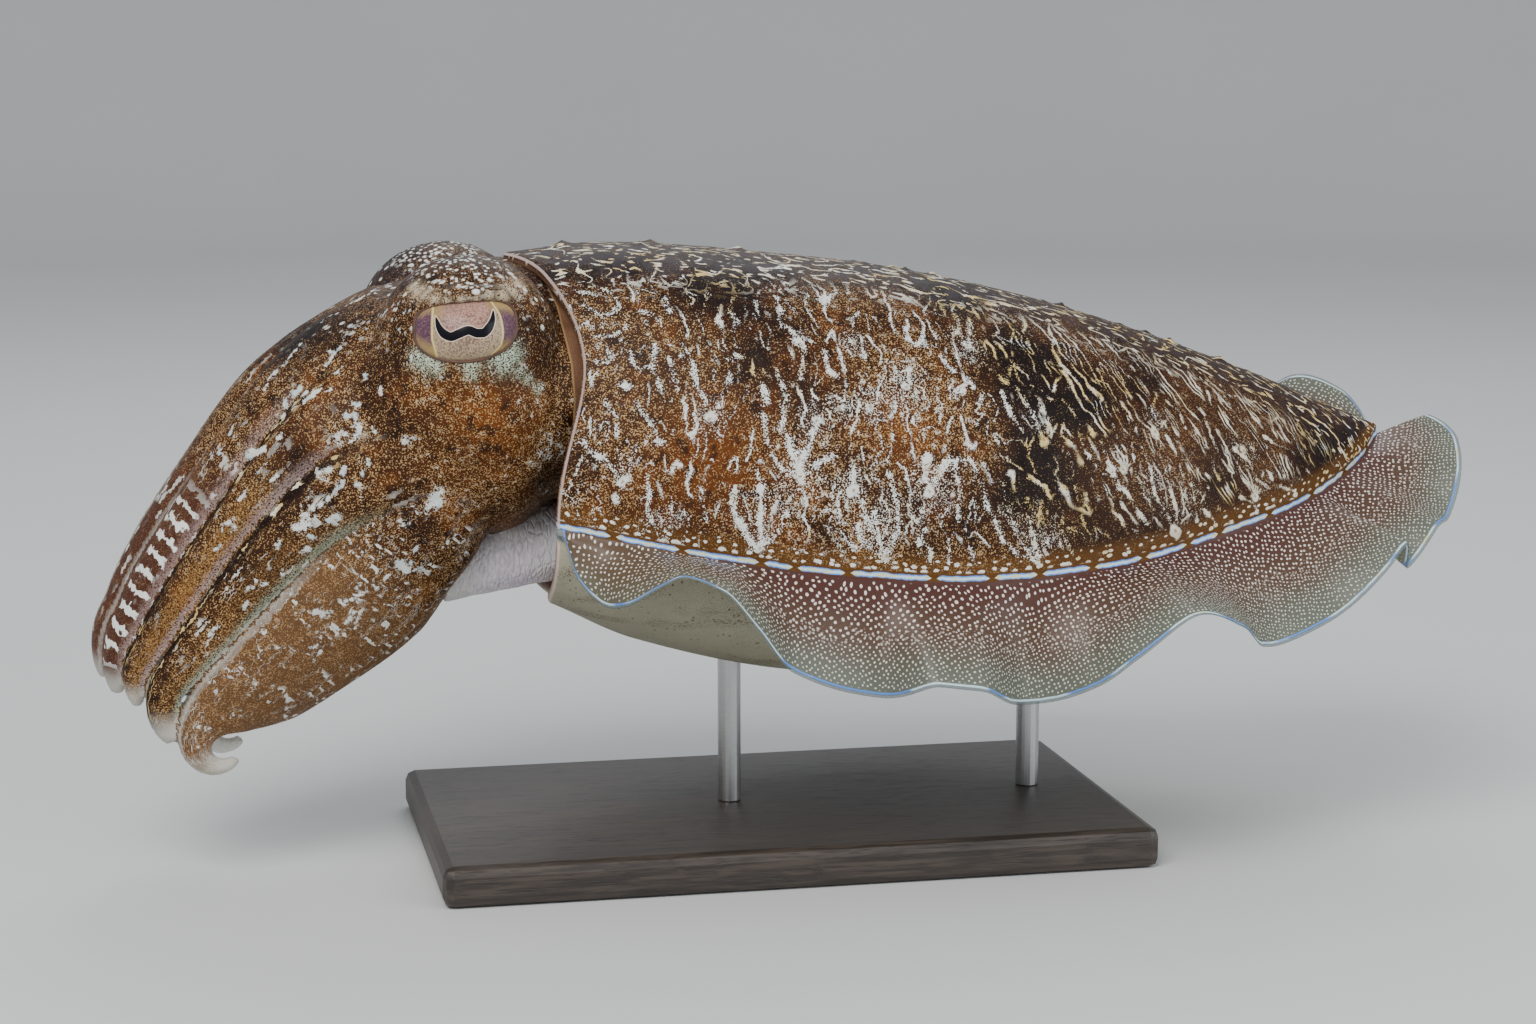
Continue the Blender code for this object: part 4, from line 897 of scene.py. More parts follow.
def bulge_surface(x, z):
    """How far out the eye's bulge reaches at places on its side."""
    (middle_x, middle_out, middle_z), (radius_x, radius_out, radius_z) = EYE_BULGE_CENTRE, EYE_BULGE_RADII
    off = ((x - middle_x) / radius_x) ** 2 + ((z - middle_z) / radius_z) ** 2
    return middle_out + radius_out * np.sqrt(np.clip(1.0 - off, 0.02, 1.0))


def opening_edge(angle):
    """The eye opening's outline from its centre: a wide D with a nearly straight top."""
    cos, sin = np.cos(angle), np.sin(angle)
    upper = sin > 0
    power = 2.0 / np.where(upper, EYE_UPPER_POWER, EYE_LOWER_POWER)
    out = EYE_OPENING_HALF * np.sign(cos) * np.abs(cos) ** power
    high = np.where(upper, EYE_OPENING_UP, EYE_OPENING_DOWN) * np.sign(sin) * np.abs(sin) ** power
    return out, high + EYE_OPENING_SLOPE * out


def opening_share(x, z):
    """0 at the eye opening's centre, 1 on its outline."""
    out = x - EYE_CENTRE[0]
    high = z - EYE_CENTRE[2] - EYE_OPENING_SLOPE * out
    upper = high > 0
    power = np.where(upper, EYE_UPPER_POWER, EYE_LOWER_POWER)
    reach = np.where(upper, EYE_OPENING_UP, EYE_OPENING_DOWN)
    return (np.abs(out / EYE_OPENING_HALF) ** power + np.abs(high / reach) ** power) ** (1.0 / power)


def arm_axis(t):
    """Points, forward directions and upward directions of the arms' common axis."""
    p = np.array([(x, 0.0, z) for x, z in ARM_AXIS])
    t = np.atleast_1d(t)[:, None]
    point = (1 - t) ** 3 * p[0] + 3 * t * (1 - t) ** 2 * p[1] + 3 * t * t * (1 - t) * p[2] + t ** 3 * p[3]
    way = (1 - t) ** 2 * (p[1] - p[0]) + 2 * t * (1 - t) * (p[2] - p[1]) + t * t * (p[3] - p[2])
    way /= np.linalg.norm(way, axis=1)[:, None]
    return point, way, np.stack([way[:, 2], np.zeros(len(way)), -way[:, 0]], axis=1)


def arm_section(side, pair, t, across, outward):
    """Rise and sideways place of arm points: across from -1 to 1, outward from -1 (oral) to 1 (outer)."""
    edges = np.radians(through(ARM_EDGES[side], t)[:, pair - 1:pair + 1])
    upper, lower, wide, hollow = (
        through(line, t)[:, None] for line in (ARM_RING_UPPER, ARM_RING_LOWER, ARM_RING_WIDE, ARM_HOLLOW))
    radius = (1 + hollow) / 2 + (1 - hollow) / 2 * outward
    if (side, pair) in ARM_PROUD:
        radius = radius * (1.0 + through(ARM_PROUD[side, pair], t)[:, None] / upper)
    fill, lean = through(ARM_FILL[pair], t)[:, None], ARM_LEAN[pair]
    room = (edges[:, 1:] - edges[:, :1]) / 2 + ARM_OVERLAP / (np.minimum(upper, wide) * hollow)
    angle = edges.mean(axis=1)[:, None] + room * (fill * across - lean * (1 - fill))
    rise = np.cos(angle) * np.where(np.cos(angle) > 0, upper, lower)
    return rise * radius, SIDES[side] * wide * radius * np.sin(angle)


def arm_surface(side, pair, t, across, outward):
    """Points of one arm with its curled tip, for stations t and arrays of across and outward at each."""
    start, length, turn, late = ARM_CURL[pair]
    rise, out = arm_section(side, pair, t, across, outward)
    point, way, up = arm_axis(np.minimum(t, start))
    pivot, level = np.full((len(t), 1), -ARM_LEAN[pair]), np.zeros((len(t), 1))
    now_rise, _ = arm_section(side, pair, t, pivot, level)
    start_rise, _ = arm_section(side, pair, np.full(len(t), start), pivot, level)
    share = np.clip((t - start) / (1 - start), 0.0, None)[:, None]
    turns = math.radians(turn) * (share * (np.arange(CURL_STEPS) + 0.5) / CURL_STEPS) ** late
    gone = length * share
    bent = point + up * (start_rise - gone * np.sin(turns).mean(axis=1)[:, None])
    bent += way * gone * np.cos(turns).mean(axis=1)[:, None]
    angle = math.radians(turn) * share ** late
    curl = (t > start)[:, None]
    centre = np.where(curl, bent, point)
    turned = up * np.cos(angle) + way * np.sin(angle)
    lift = np.where(curl, rise - now_rise, rise)
    places = centre[:, None] + turned[:, None] * lift[:, :, None]
    places[:, :, 1] += out
    return places


def arm_rings(side, pair):
    """One arm's rings from inside the head to its rounded end, and (t, across, outward) at each point."""
    t = np.linspace(-0.05, 1.0, ARM_STEPS)
    angle = np.linspace(0.0, 2 * math.pi, ARM_SIDES, endpoint=False)
    power = (2.0 / through(ARM_SQUARENESS, t))[:, None]
    across, outward = (np.sign(part) * np.abs(part) ** power for part in (np.cos(angle), np.sin(angle)))
    rings = arm_surface(side, pair, t, across, outward)
    middle, before = rings[-1].mean(axis=0), rings[-3].mean(axis=0)
    way = (middle - before) / np.linalg.norm(middle - before)
    ends = [middle + (rings[-1] - middle) * size + way * ahead for size, ahead in ARM_END]
    facts = np.stack([np.broadcast_to(t[:, None], across.shape), across, outward], axis=2)
    return np.concatenate([rings, np.array(ends)]), facts


def brow_fold(side, start, end, radius):
    """A soft fold over one eye, along the opening's outline between two angles."""
    out, high = opening_edge(np.linspace(start, end, BROW_STEPS))
    x, z = EYE_CENTRE[0] + out * 1.05, EYE_CENTRE[2] + high + radius * 0.9
    y = bulge_surface(x, z) + 0.4
    size = radius * np.sin(np.linspace(0.12, math.pi - 0.12, BROW_STEPS)) ** 0.6
    turn = np.linspace(0.0, 2 * math.pi, BROW_SIDES, endpoint=False)
    rings = np.stack([
        np.repeat(x[:, None], BROW_SIDES, axis=1), SIDES[side] * (y[:, None] + size[:, None] * np.cos(turn)),
        z[:, None] + size[:, None] * np.sin(turn),
    ], axis=2)
    return tube("brow", rings)


def make_head_skin(sizes):
    """Head, eye bulges, brows and the eight arms grown together, so that one skin covers them."""
    parts = [tube("head_form", head_rings())]
    samples, facts, pairs = [], [], []
    for side in SIDES:
        bulge = np.array(EYE_BULGE_CENTRE) * (1.0, SIDES[side], 1.0)
        parts.append(ball("bulge", bulge, EYE_BULGE_RADII))
        parts.append(brow_fold(side, math.radians(20.0), math.radians(160.0), sizes.brow_radius))
        for pair in ARM_FILL:
            rings, fact = arm_rings(side, pair)
            parts.append(tube(f"arm_form_{side}_{pair}", rings))
            samples.append(rings[:ARM_STEPS].reshape(-1, 3))
            facts.append(fact.reshape(-1, 3))
            pairs.append(np.full(fact.shape[0] * fact.shape[1], pair))
    for centre, radii in FILLING_FORMS:
        parts.append(ball("filling", centre, radii))
    skin = joined(parts, "head_skin")
    finish_with(skin, "REMESH", mode="VOXEL", voxel_size=sizes.skin_voxel * MM, use_smooth_shade=True)
    finish_with(skin, "SMOOTH", factor=0.5, iterations=4)
    arms = [np.concatenate(part) for part in (samples, facts, pairs)]
    fact, _ = arm_facts(mesh_points(skin), *arms)
    soften_creases(skin, fact)
    points, normals = mesh_points(skin), mesh_normals(skin)
    set_points(skin, shape_head(points, normals, fact, sizes))
    if len(skin.data.polygons) * 2 > MOST_TRIANGLES:
        finish_with(skin, "DECIMATE", ratio=MOST_TRIANGLES / (len(skin.data.polygons) * 2))
    points, normals = mesh_points(skin), mesh_normals(skin)
    fact, weights = arm_facts(points, *arms)
    outside = (fact[:, 2] > -0.3) | (fact[:, 0] < 0.0)
    for name, values in {
        "arm": fact, "pair": weights,
        "tone": tone_field(HEAD_TONES, points, normals),
        "flare": patches(FLARES, points, normals),
        "lid_patch": patches(LID_PATCHES, points, normals),
        "streak": streak_field(HEAD_STREAKS, points, normals, outside),
        "collar": behind_collar(points, normals),
    }.items():
        write_attribute(skin, name, values)
    select_only(skin)
    bpy.ops.object.shade_smooth()
    return skin


def patches(marks, points, normals):
    """The share of soft round patches at each point, from marks on both sides."""
    centres = points[seen_at(marks, points, normals)]
    share = np.zeros(len(points))
    for centre, mark in zip(*both_sides(centres, marks, 0.0)):
        share = np.maximum(share, np.exp(-(np.linalg.norm(points - centre, axis=1) / mark[2]) ** 2))
    return share


def arm_facts(points, samples, facts, pairs):
    """At each point the nearest arm's (t, across, outward), and a weight for each pair of arms."""
    tree = KDTree(len(samples))
    for i, place in enumerate(samples):
        tree.insert(place, i)
    tree.balance()
    found = [tree.find(p)[1:] for p in points]
    nearest, away = np.array([f[0] for f in found]), np.array([f[1] for f in found])
    fact = facts[nearest]
    near_arm, off_arm = ARM_REACH
    on_arm = eased(fact[:, 0], -0.02, 0.06) * (1.0 - eased(away, near_arm, off_arm))
    fact[:, 0] = np.where(away < off_arm, fact[:, 0], -0.05)
    inner = on_arm * (1.0 - eased(np.abs(fact[:, 1]), 0.93, 1.0) * 0.6)
    weights = np.stack([np.where(pairs[nearest] == pair, inner, 0.0) for pair in ARM_FILL], axis=1)
    return fact, weights


def soften_creases(skin, fact):
    """Smooths the skin most at the arms' bases and round the eyes' bulges, so that creases fade."""
    points = mesh_points(skin)
    soft = (1.0 - eased(fact[:, 0], 0.12, 0.34)) * eased(-points[:, 0], 92.0, 104.0)
    away = np.linalg.norm(np.abs(points) - np.abs(EYE_BULGE_CENTRE), axis=1)
    round_eye = (1.0 - eased(away, 36.0, 44.0)) * eased(opening_share(points[:, 0], points[:, 2]), 1.15, 1.6)
    soft = np.maximum(soft, round_eye * (points[:, 2] < 172.0))
    group = skin.vertex_groups.new(name="soft")
    for level in range(1, SOFT_LEVELS + 1):
        chosen = np.flatnonzero(np.round(soft * SOFT_LEVELS) == level)
        group.add(chosen.tolist(), level / SOFT_LEVELS, "REPLACE")
    finish_with(skin, "SMOOTH", factor=0.6, iterations=44, vertex_group="soft")
    skin.vertex_groups.clear()


def shape_head(points, normals, fact, sizes):
    """Sinks the skin under the eyes, and gives it a faint unevenness and small warts."""
    shaped = points.copy()
    on_side = np.abs(normals[:, 1]) > 0.25
    share = opening_share(points[:, 0], points[:, 2])
    near_eye = on_side & (np.abs(points[:, 1]) > 30.0) & (share < 1.3)
    wanted = bulge_surface(points[:, 0], points[:, 2]) - sizes.eye_sink
    depth = (1.0 - eased(share, 0.88, 1.06)) * near_eye
    pressed = np.minimum(np.abs(points[:, 1]), wanted)
    shaped[:, 1] = points[:, 1] + depth * (np.sign(points[:, 1]) * pressed - points[:, 1])
    quiet = eased(share, 1.0, 1.25) * eased(points[:, 0], -200.0, -60.0) + 0.25
    outer = eased(fact[:, 2], -0.2, 0.3)
    lift = unevenness(points, HEAD_RELIEF)
    draw = np.random.default_rng(SEED + 5)
    candidates = np.flatnonzero((outer > 0.5) & (share > 1.25) & (normals[:, 2] > -0.2))
    chosen = draw.choice(candidates, HEAD_WARTS, replace=False)
    add_small_warts(lift, points, chosen, draw, (1.5, 2.4), (0.2, 0.45))
    return shaped + normals * (lift * np.clip(quiet, 0.0, 1.0) * outer * (share > 1.0))[:, None]


def sucker_cup():
    """One sucker, a short cup of unit radius on its root, as points and faces."""
    bpy.ops.object.select_all(action="DESELECT")
    bpy.ops.mesh.primitive_cylinder_add(
        vertices=SUCKER_SIDES, radius=1.0, depth=1.4, location=(0.0, 0.0, 0.0))
    cup = bpy.context.object
    for face in cup.data.polygons:
        face.select = face.normal.z > 0.9
    bpy.ops.object.mode_set(mode="EDIT")
    bpy.ops.mesh.select_mode(type="FACE")
    bpy.ops.mesh.inset(thickness=0.35)
    bpy.ops.transform.translate(value=(0.0, 0.0, -0.45))
    bpy.ops.object.mode_set(mode="OBJECT")
    points = mesh_points(cup, 1.0)
    points[points[:, 2] < -0.5, :2] *= 0.7
    faces = [tuple(face.vertices) for face in cup.data.polygons]
    bpy.data.meshes.remove(cup.data)
    return points, faces


def sucker_feet(side, pair, t, across):
    """Where a row of suckers stands on an arm's oral face, and their directions along, across and outward."""
    place, face = np.full((len(t), 1), across), np.full((len(t), 1), SUCKER_LEVEL)
    foot, core = (arm_surface(side, pair, t, place, level)[:, 0] for level in (face, face + 0.8))
    ahead = arm_surface(side, pair, t + 0.004, place, face)[:, 0]
    inward = foot - core
    inward /= np.linalg.norm(inward, axis=1)[:, None]
    along = ahead - foot
    along -= inward * np.einsum("ij,ij->i", along, inward)[:, None]
    along /= np.linalg.norm(along, axis=1)[:, None]
    return foot, np.stack([along, np.cross(inward, along), inward], axis=1)


def make_suckers(sizes):
    """Four staggered rows of suckers along the oral face of every arm, in one joined mesh."""
    cup, faces = sucker_cup()
    draw = np.random.default_rng(SEED + 2)
    all_points, all_faces = [], []
    for side, pair, (row, across) in itertools.product(SIDES, ARM_FILL, enumerate(SUCKER_ROWS)):
        step = np.arange(SUCKER_COUNT) + 0.5 * (row % 2)
        t = SUCKER_FIRST + (SUCKER_LAST - SUCKER_FIRST) * step / SUCKER_COUNT
        t = t + draw.uniform(-0.002, 0.002, len(t))
        foot, axes = sucker_feet(side, pair, t, across)
        radius = through(SUCKER_RADIUS, t) * sizes.sucker_scale * draw.uniform(0.9, 1.08, len(t))
        for k, size in enumerate(radius):
            all_faces += [tuple(len(all_points) * len(cup) + v for v in face) for face in faces]
            all_points.append(foot[k] + axes[k, 2] * size * 0.25 + cup @ axes[k] * size)
    mesh = bpy.data.meshes.new("suckers")
    mesh.from_pydata((np.concatenate(all_points) * MM).tolist(), [], all_faces)
    piece = bpy.data.objects.new("suckers", mesh)
    bpy.context.scene.collection.objects.link(piece)
    select_only(piece)
    bpy.ops.object.shade_smooth_by_angle(angle=math.radians(50.0))
    return piece


# Eyes, funnel and mouth

def make_eye(side, sizes):
    """One eye: a low dome in its D-shaped opening, with a thin raised rim of skin round it, closed behind."""
    out, high = opening_edge(np.linspace(0.0, 2 * math.pi, EYE_SIDES, endpoint=False))
    reach = np.hypot(out, high)
    even = np.ones(len(out))
    rows, facts = [], []
    for share in np.linspace(0.02, 1.0, EYE_STEPS):
        rise = sizes.eye_rise * (1.0 - share ** 2.6) - 0.35 * share ** 8
        rows.append((out * share, high * share, even * rise))
        facts.append(np.stack([out * share, high * share, even * share], axis=1))
    for turn in np.radians((165.0, 140.0, 115.0, 90.0, 65.0, 40.0, 15.0, -15.0, -40.0)):
        beyond, rise = sizes.rim_radius * (1.0 + math.cos(turn)), sizes.rim_radius * math.sin(turn) - 0.1
        grow = 1.0 + beyond / reach
        rows.append((out * grow, high * grow, even * rise))
        facts.append(np.stack([out * grow, high * grow, even * (1.0 + beyond / 4.0)], axis=1))
    rows.append((out * 0.9, high * 0.9, even * EYE_BACK))
    facts.append(facts[-1])
    rings = []
    for across, up, rise in rows:
        x, z = EYE_CENTRE[0] + across, EYE_CENTRE[2] + up
        rings.append(np.stack([x, SIDES[side] * (bulge_surface(x, z) + rise), z], axis=1))
    piece = shaped_grid(f"eyeball_{side}", capped(rings))
    facts = np.asarray(facts)
    facts = np.concatenate([facts, facts[:, :1]], axis=1)
    centre = np.zeros((1, facts.shape[1], 3))
    facts = np.concatenate([centre, facts, facts[-1:]]).reshape(-1, 3)
    write_attribute(piece, "eye_place", facts)
    write_attribute(piece, "eye_marks", eye_marks(facts))
    closed_up(piece, 0.002)
    return piece


def eye_marks(facts):
    """In mm: distance outside the W-shaped pupil, place outside the pale arcs, and height above the pupil."""
    stations = [(i, *spot) for i, spot in enumerate(PUPIL_LINE)]
    line = through(stations, np.linspace(0.0, len(PUPIL_LINE) - 1.0, PUPIL_STEPS))
    way = np.concatenate([[0.0], np.cumsum(np.linalg.norm(np.diff(line, axis=0), axis=1))])
    from_end = np.minimum(way, way[-1] - way)
    half = PUPIL_HALF * np.clip(from_end / 5.0, 0.02, 1.0) ** 0.7
    away = np.linalg.norm(facts[:, None, :2] - line[None], axis=2) - half[None]
    left = through(LEFT_ARC, facts[:, 1]) - facts[:, 0]
    right = facts[:, 0] - through(RIGHT_ARC, facts[:, 1])
    above = facts[:, 1] - np.interp(facts[:, 0], line[:, 0], line[:, 1])
    return np.stack([away.min(axis=1), np.maximum(left, right), above], axis=1)


def make_funnel():
    """The funnel as a soft tube with a rounded lip and an open bore."""
    place = np.linspace(0.0, len(FUNNEL_SECTIONS) - 1.0, FUNNEL_STEPS)
    sections = [(i, *row) for i, row in enumerate(FUNNEL_SECTIONS)]
    x, centre, half_width, half_height = through(sections, place).T
    angle = np.linspace(0.0, 2 * math.pi, FUNNEL_SIDES, endpoint=False)

    def ring(i, grow, ahead=0.0):
        out, high = (half_width[i] + grow) * np.sin(angle), (half_height[i] + grow) * np.cos(angle)
        return np.stack([np.full(len(angle), x[i] + ahead), out, centre[i] + high], axis=1)

    rings = [ring(i, 0.0) for i in range(len(x) - 1)]
    for turn in np.radians((30.0, 60.0, 90.0, 120.0, 150.0)):
        rings.append(ring(-1, -FUNNEL_WALL / 2 * (1.0 - math.cos(turn)), -FUNNEL_WALL / 2 * math.sin(turn)))
    first = int(np.argmin(np.abs(x - (FUNNEL_SECTIONS[-1][0] + FUNNEL_BORE))))
    rings += [ring(i, -FUNNEL_WALL) for i in range(len(x) - 1, first, -1)]
    piece = shaped_grid("funnel_skin", capped(rings))
    points = mesh_points(piece)
    set_points(piece, points + mesh_normals(piece) * 0.15 * relief(points, 5.0, 6)[:, None])
    closed_up(piece, 0.002)
    return piece


def make_mouth():
    """The lobed membrane round the mouth, and the tip of the beak inside it."""
    (base,), (forward,), (up,) = arm_axis(0.0)
    level = np.array([0.0, 1.0, 0.0])
    angle = np.linspace(0.0, 2 * math.pi, MOUTH_SIDES, endpoint=False)
    lobes = 1.0 + 0.07 * np.cos(MOUTH_LOBES * angle)
    upward, sideways = up * np.cos(angle)[:, None], level * np.sin(angle)[:, None]
    rings = []
    for along, radius in MOUTH_PROFILE:
        wave = 1.0 + (lobes - 1.0) * along / MOUTH_LENGTH
        reach = radius * MOUTH_RADIUS * 0.93 * wave
        rings.append(base + forward * along + (upward + sideways) * reach[:, None])
    beak = []
    for along, radius in BEAK_PROFILE:
        middle = base + forward * along + up * (BEAK_PROFILE[-1][0] - along) * 0.35
        beak.append(middle + (upward[::4] * 1.2 + sideways[::4] * 0.8) * radius)
    return tube("mouth_skin", rings), tube("beak", beak)


# Finishes

class Value:
    """A number or vector that a finish's nodes work out, so that a pattern reads as sums and products."""

    def __init__(self, finish, socket):
        self.finish, self.socket = finish, socket

    def __add__(self, other):
        return self.finish.math("ADD", self, other)

    def __sub__(self, other):
        return self.finish.math("SUBTRACT", self, other)

    def __rsub__(self, other):
        return self.finish.math("SUBTRACT", other, self)

    def __mul__(self, other):
        return self.finish.math("MULTIPLY", self, other)

    def __truediv__(self, other):
        return self.finish.math("DIVIDE", self, other)

    __radd__, __rmul__ = __add__, __mul__


class Finish:
    """A procedural material, with short names for the nodes its patterns are made of. Sizes are in mm."""

    def __init__(self, name):
        self.material = bpy.data.materials.new(name)
        self.material.use_nodes = True
        self.tree = self.material.node_tree
        self.shader = self.tree.nodes["Principled BSDF"]
        place = Value(self, self.node("ShaderNodeTexCoord").outputs["Object"])
        self.place = self.vector("SCALE", place, scale=1.0 / MM)

    def node(self, kind, **settings):
        made = self.tree.nodes.new(kind)
        for name, value in settings.items():
            setattr(made, name, value)
        return made

    def feed(self, socket, value):
        if isinstance(value, Value):
            self.tree.links.new(value.socket, socket)
        else:
            socket.default_value = value

    def math(self, operation, *terms):
        made = self.node("ShaderNodeMath", operation=operation)
        for socket, term in zip(made.inputs, terms):
            self.feed(socket, term)
        return Value(self, made.outputs[0])

    def least(self, *terms):
        return self.math("MINIMUM", *terms)

    def most(self, *terms):
        return self.math("MAXIMUM", *terms)

    def size_of(self, term):
        return self.math("ABSOLUTE", term)

    def vector(self, operation, first, second=None, scale=None):
        made = self.node("ShaderNodeVectorMath", operation=operation)
        self.feed(made.inputs[0], first)
        if second is not None:
            self.feed(made.inputs[1], second)
        if scale is not None:
            self.feed(made.inputs["Scale"], scale)
        return Value(self, made.outputs["Value" if operation == "LENGTH" else "Vector"])

    def split(self, vector):
        made = self.node("ShaderNodeSeparateXYZ")
        self.feed(made.inputs[0], vector)
        return [Value(self, out) for out in made.outputs]

    def combined(self, *parts):
        made = self.node("ShaderNodeCombineXYZ")
        for socket, part in zip(made.inputs, parts):
            self.feed(socket, part)
        return Value(self, made.outputs[0])

    def attribute(self, name, output="Vector"):
        return Value(self, self.node("ShaderNodeAttribute", attribute_name=name).outputs[output])

    def noise(self, size, at=None, detail=2.0, rough=0.5, seed=0.0, output=0, flat=False):
        """Smooth random values round 0.5, with features of that size; flat reads two places of three."""
        moved = self.vector("ADD", at or self.place, (31.7 * seed, -12.3 * seed, 7.9 * seed))
        made = self.node("ShaderNodeTexNoise", noise_dimensions="2D" if flat else "3D")
        self.feed(made.inputs["Vector"], moved)
        made.inputs["Scale"].default_value = 1.0 / size
        made.inputs["Detail"].default_value = detail
        made.inputs["Roughness"].default_value = rough
        return Value(self, made.outputs[output])

    def cells(self, size, at=None, feature="F1", spread=1.0, flat=False):
        """Distance from random points, or from the edges between their cells, as a share of the size."""
        made = self.node("ShaderNodeTexVoronoi", feature=feature, voronoi_dimensions="2D" if flat else "3D")
        self.feed(made.inputs["Vector"], at or self.place)
        made.inputs["Scale"].default_value = 1.0 / size
        made.inputs["Randomness"].default_value = spread
        return Value(self, made.outputs["Distance"])

    def winding(self, across, down, wide, long, seed):
        """Distance in mm from lines that wind down the skin, the level lines of a stretched noise."""
        here, beside = (
            self.noise(1.0, self.combined(place / wide, down / long, 0.0), detail=0.0, seed=seed, flat=True)
            for place in (across, across + WINDING_STEP))
        slope = self.size_of(beside - here) / WINDING_STEP
        return self.size_of(here - 0.5) / self.most(slope, LEAST_SLOPE)

    def breaks(self, size, along):
        """Distance from the nearest of random breaks along a line, in mm, with that mean spacing."""
        made = self.node("ShaderNodeTexVoronoi", feature="DISTANCE_TO_EDGE", voronoi_dimensions="1D")
        self.feed(made.inputs["W"], along)
        made.inputs["Scale"].default_value = 1.0 / size
        return Value(self, made.outputs["Distance"]) * size

    def rise(self, value, low, high):
        """0 at low, 1 at high and smooth between; low may be the larger."""
        made = self.node("ShaderNodeMapRange", interpolation_type="SMOOTHSTEP")
        self.feed(made.inputs["Value"], value)
        made.inputs["From Min"].default_value = low
        made.inputs["From Max"].default_value = high
        return Value(self, made.outputs["Result"])

    def patchy(self, size, low, high, **settings):
        """Smooth patches of about that size: 0 where the noise is at low, 1 where it is at high."""
        return self.rise(self.noise(size, **settings), low, high)

    def mix(self, share, first, second):
        """From the first colour at 0 to the second at 1."""
        made = self.node("ShaderNodeMix", data_type="RGBA")
        self.feed(made.inputs["Factor"], share)
        for socket, colour in zip((made.inputs[6], made.inputs[7]), (first, second)):
            self.feed(socket, colour if isinstance(colour, Value) else (*colour, 1.0))
        return Value(self, made.outputs[2])

    def put(self, colour, roughness, height=None, depth=0.3, alpha=None, **fixed):
        """Connects the colour, roughness, relief in mm and alpha, and sets what is the same all over."""
        self.feed(self.shader.inputs["Base Color"], colour)
        self.feed(self.shader.inputs["Roughness"], roughness)
        if height is not None:
            bump = self.node("ShaderNodeBump")
            bump.inputs["Strength"].default_value = 0.8
            bump.inputs["Distance"].default_value = depth * MM
            self.feed(bump.inputs["Height"], height)
            self.tree.links.new(bump.outputs["Normal"], self.shader.inputs["Normal"])
        if alpha is not None:
            self.feed(self.shader.inputs["Alpha"], alpha)
        for name, value in fixed.items():
            self.shader.inputs[FIXED_INPUTS[name]].default_value = value
        return self.material


def brown_ground(f, colours, dark, warm, pale, seed=0.0):
    """The brown of mantle and head: soft patches, dark blotches, and beige and white stipple in clumps."""
    broad = f.noise(SHADE_SIZE, detail=2.0, seed=seed + 1)
    patch = f.noise(PATCH_SIZE, detail=3.0, rough=0.6, seed=seed + 2)
    clump = f.noise(CLUMP_SIZE, detail=2.0, rough=0.6, seed=seed + 4)
    grain = f.noise(GRAIN_SIZE, detail=0.5, rough=0.6, seed=seed + 3)
    deep = f.least(f.rise(broad, 0.46, 0.70) * 0.55 + dark * 1.15, 1.0)
    colour = f.mix(deep, colours.mid_brown, colours.dark_brown)
    warmth = warm * f.rise(patch, 0.26, 0.52) + f.patchy(13.0, 0.52, 0.70, seed=seed + 5) * 0.5
    colour = f.mix(f.least(warmth, 1.0) * (1.0 - deep * 0.85), colour, colours.orange_brown)
    blotch = f.rise(patch, 0.55, 0.66)
    colour = f.mix(blotch * (0.75 - pale * 0.3), colour, colours.dark_brown)
    level = grain + (clump - 0.5) * 0.42 + pale * 0.08 - deep * 0.12 - blotch * 0.05
    stipple = f.rise(level, 0.525, 0.62)
    light = f.mix(f.rise(clump + pale * 0.20, 0.60, 0.86), colours.beige, colours.white)
    colour = f.mix(stipple * (0.86 - deep * 0.45), colour, light)
    return colour, grain, patch, deep, stipple


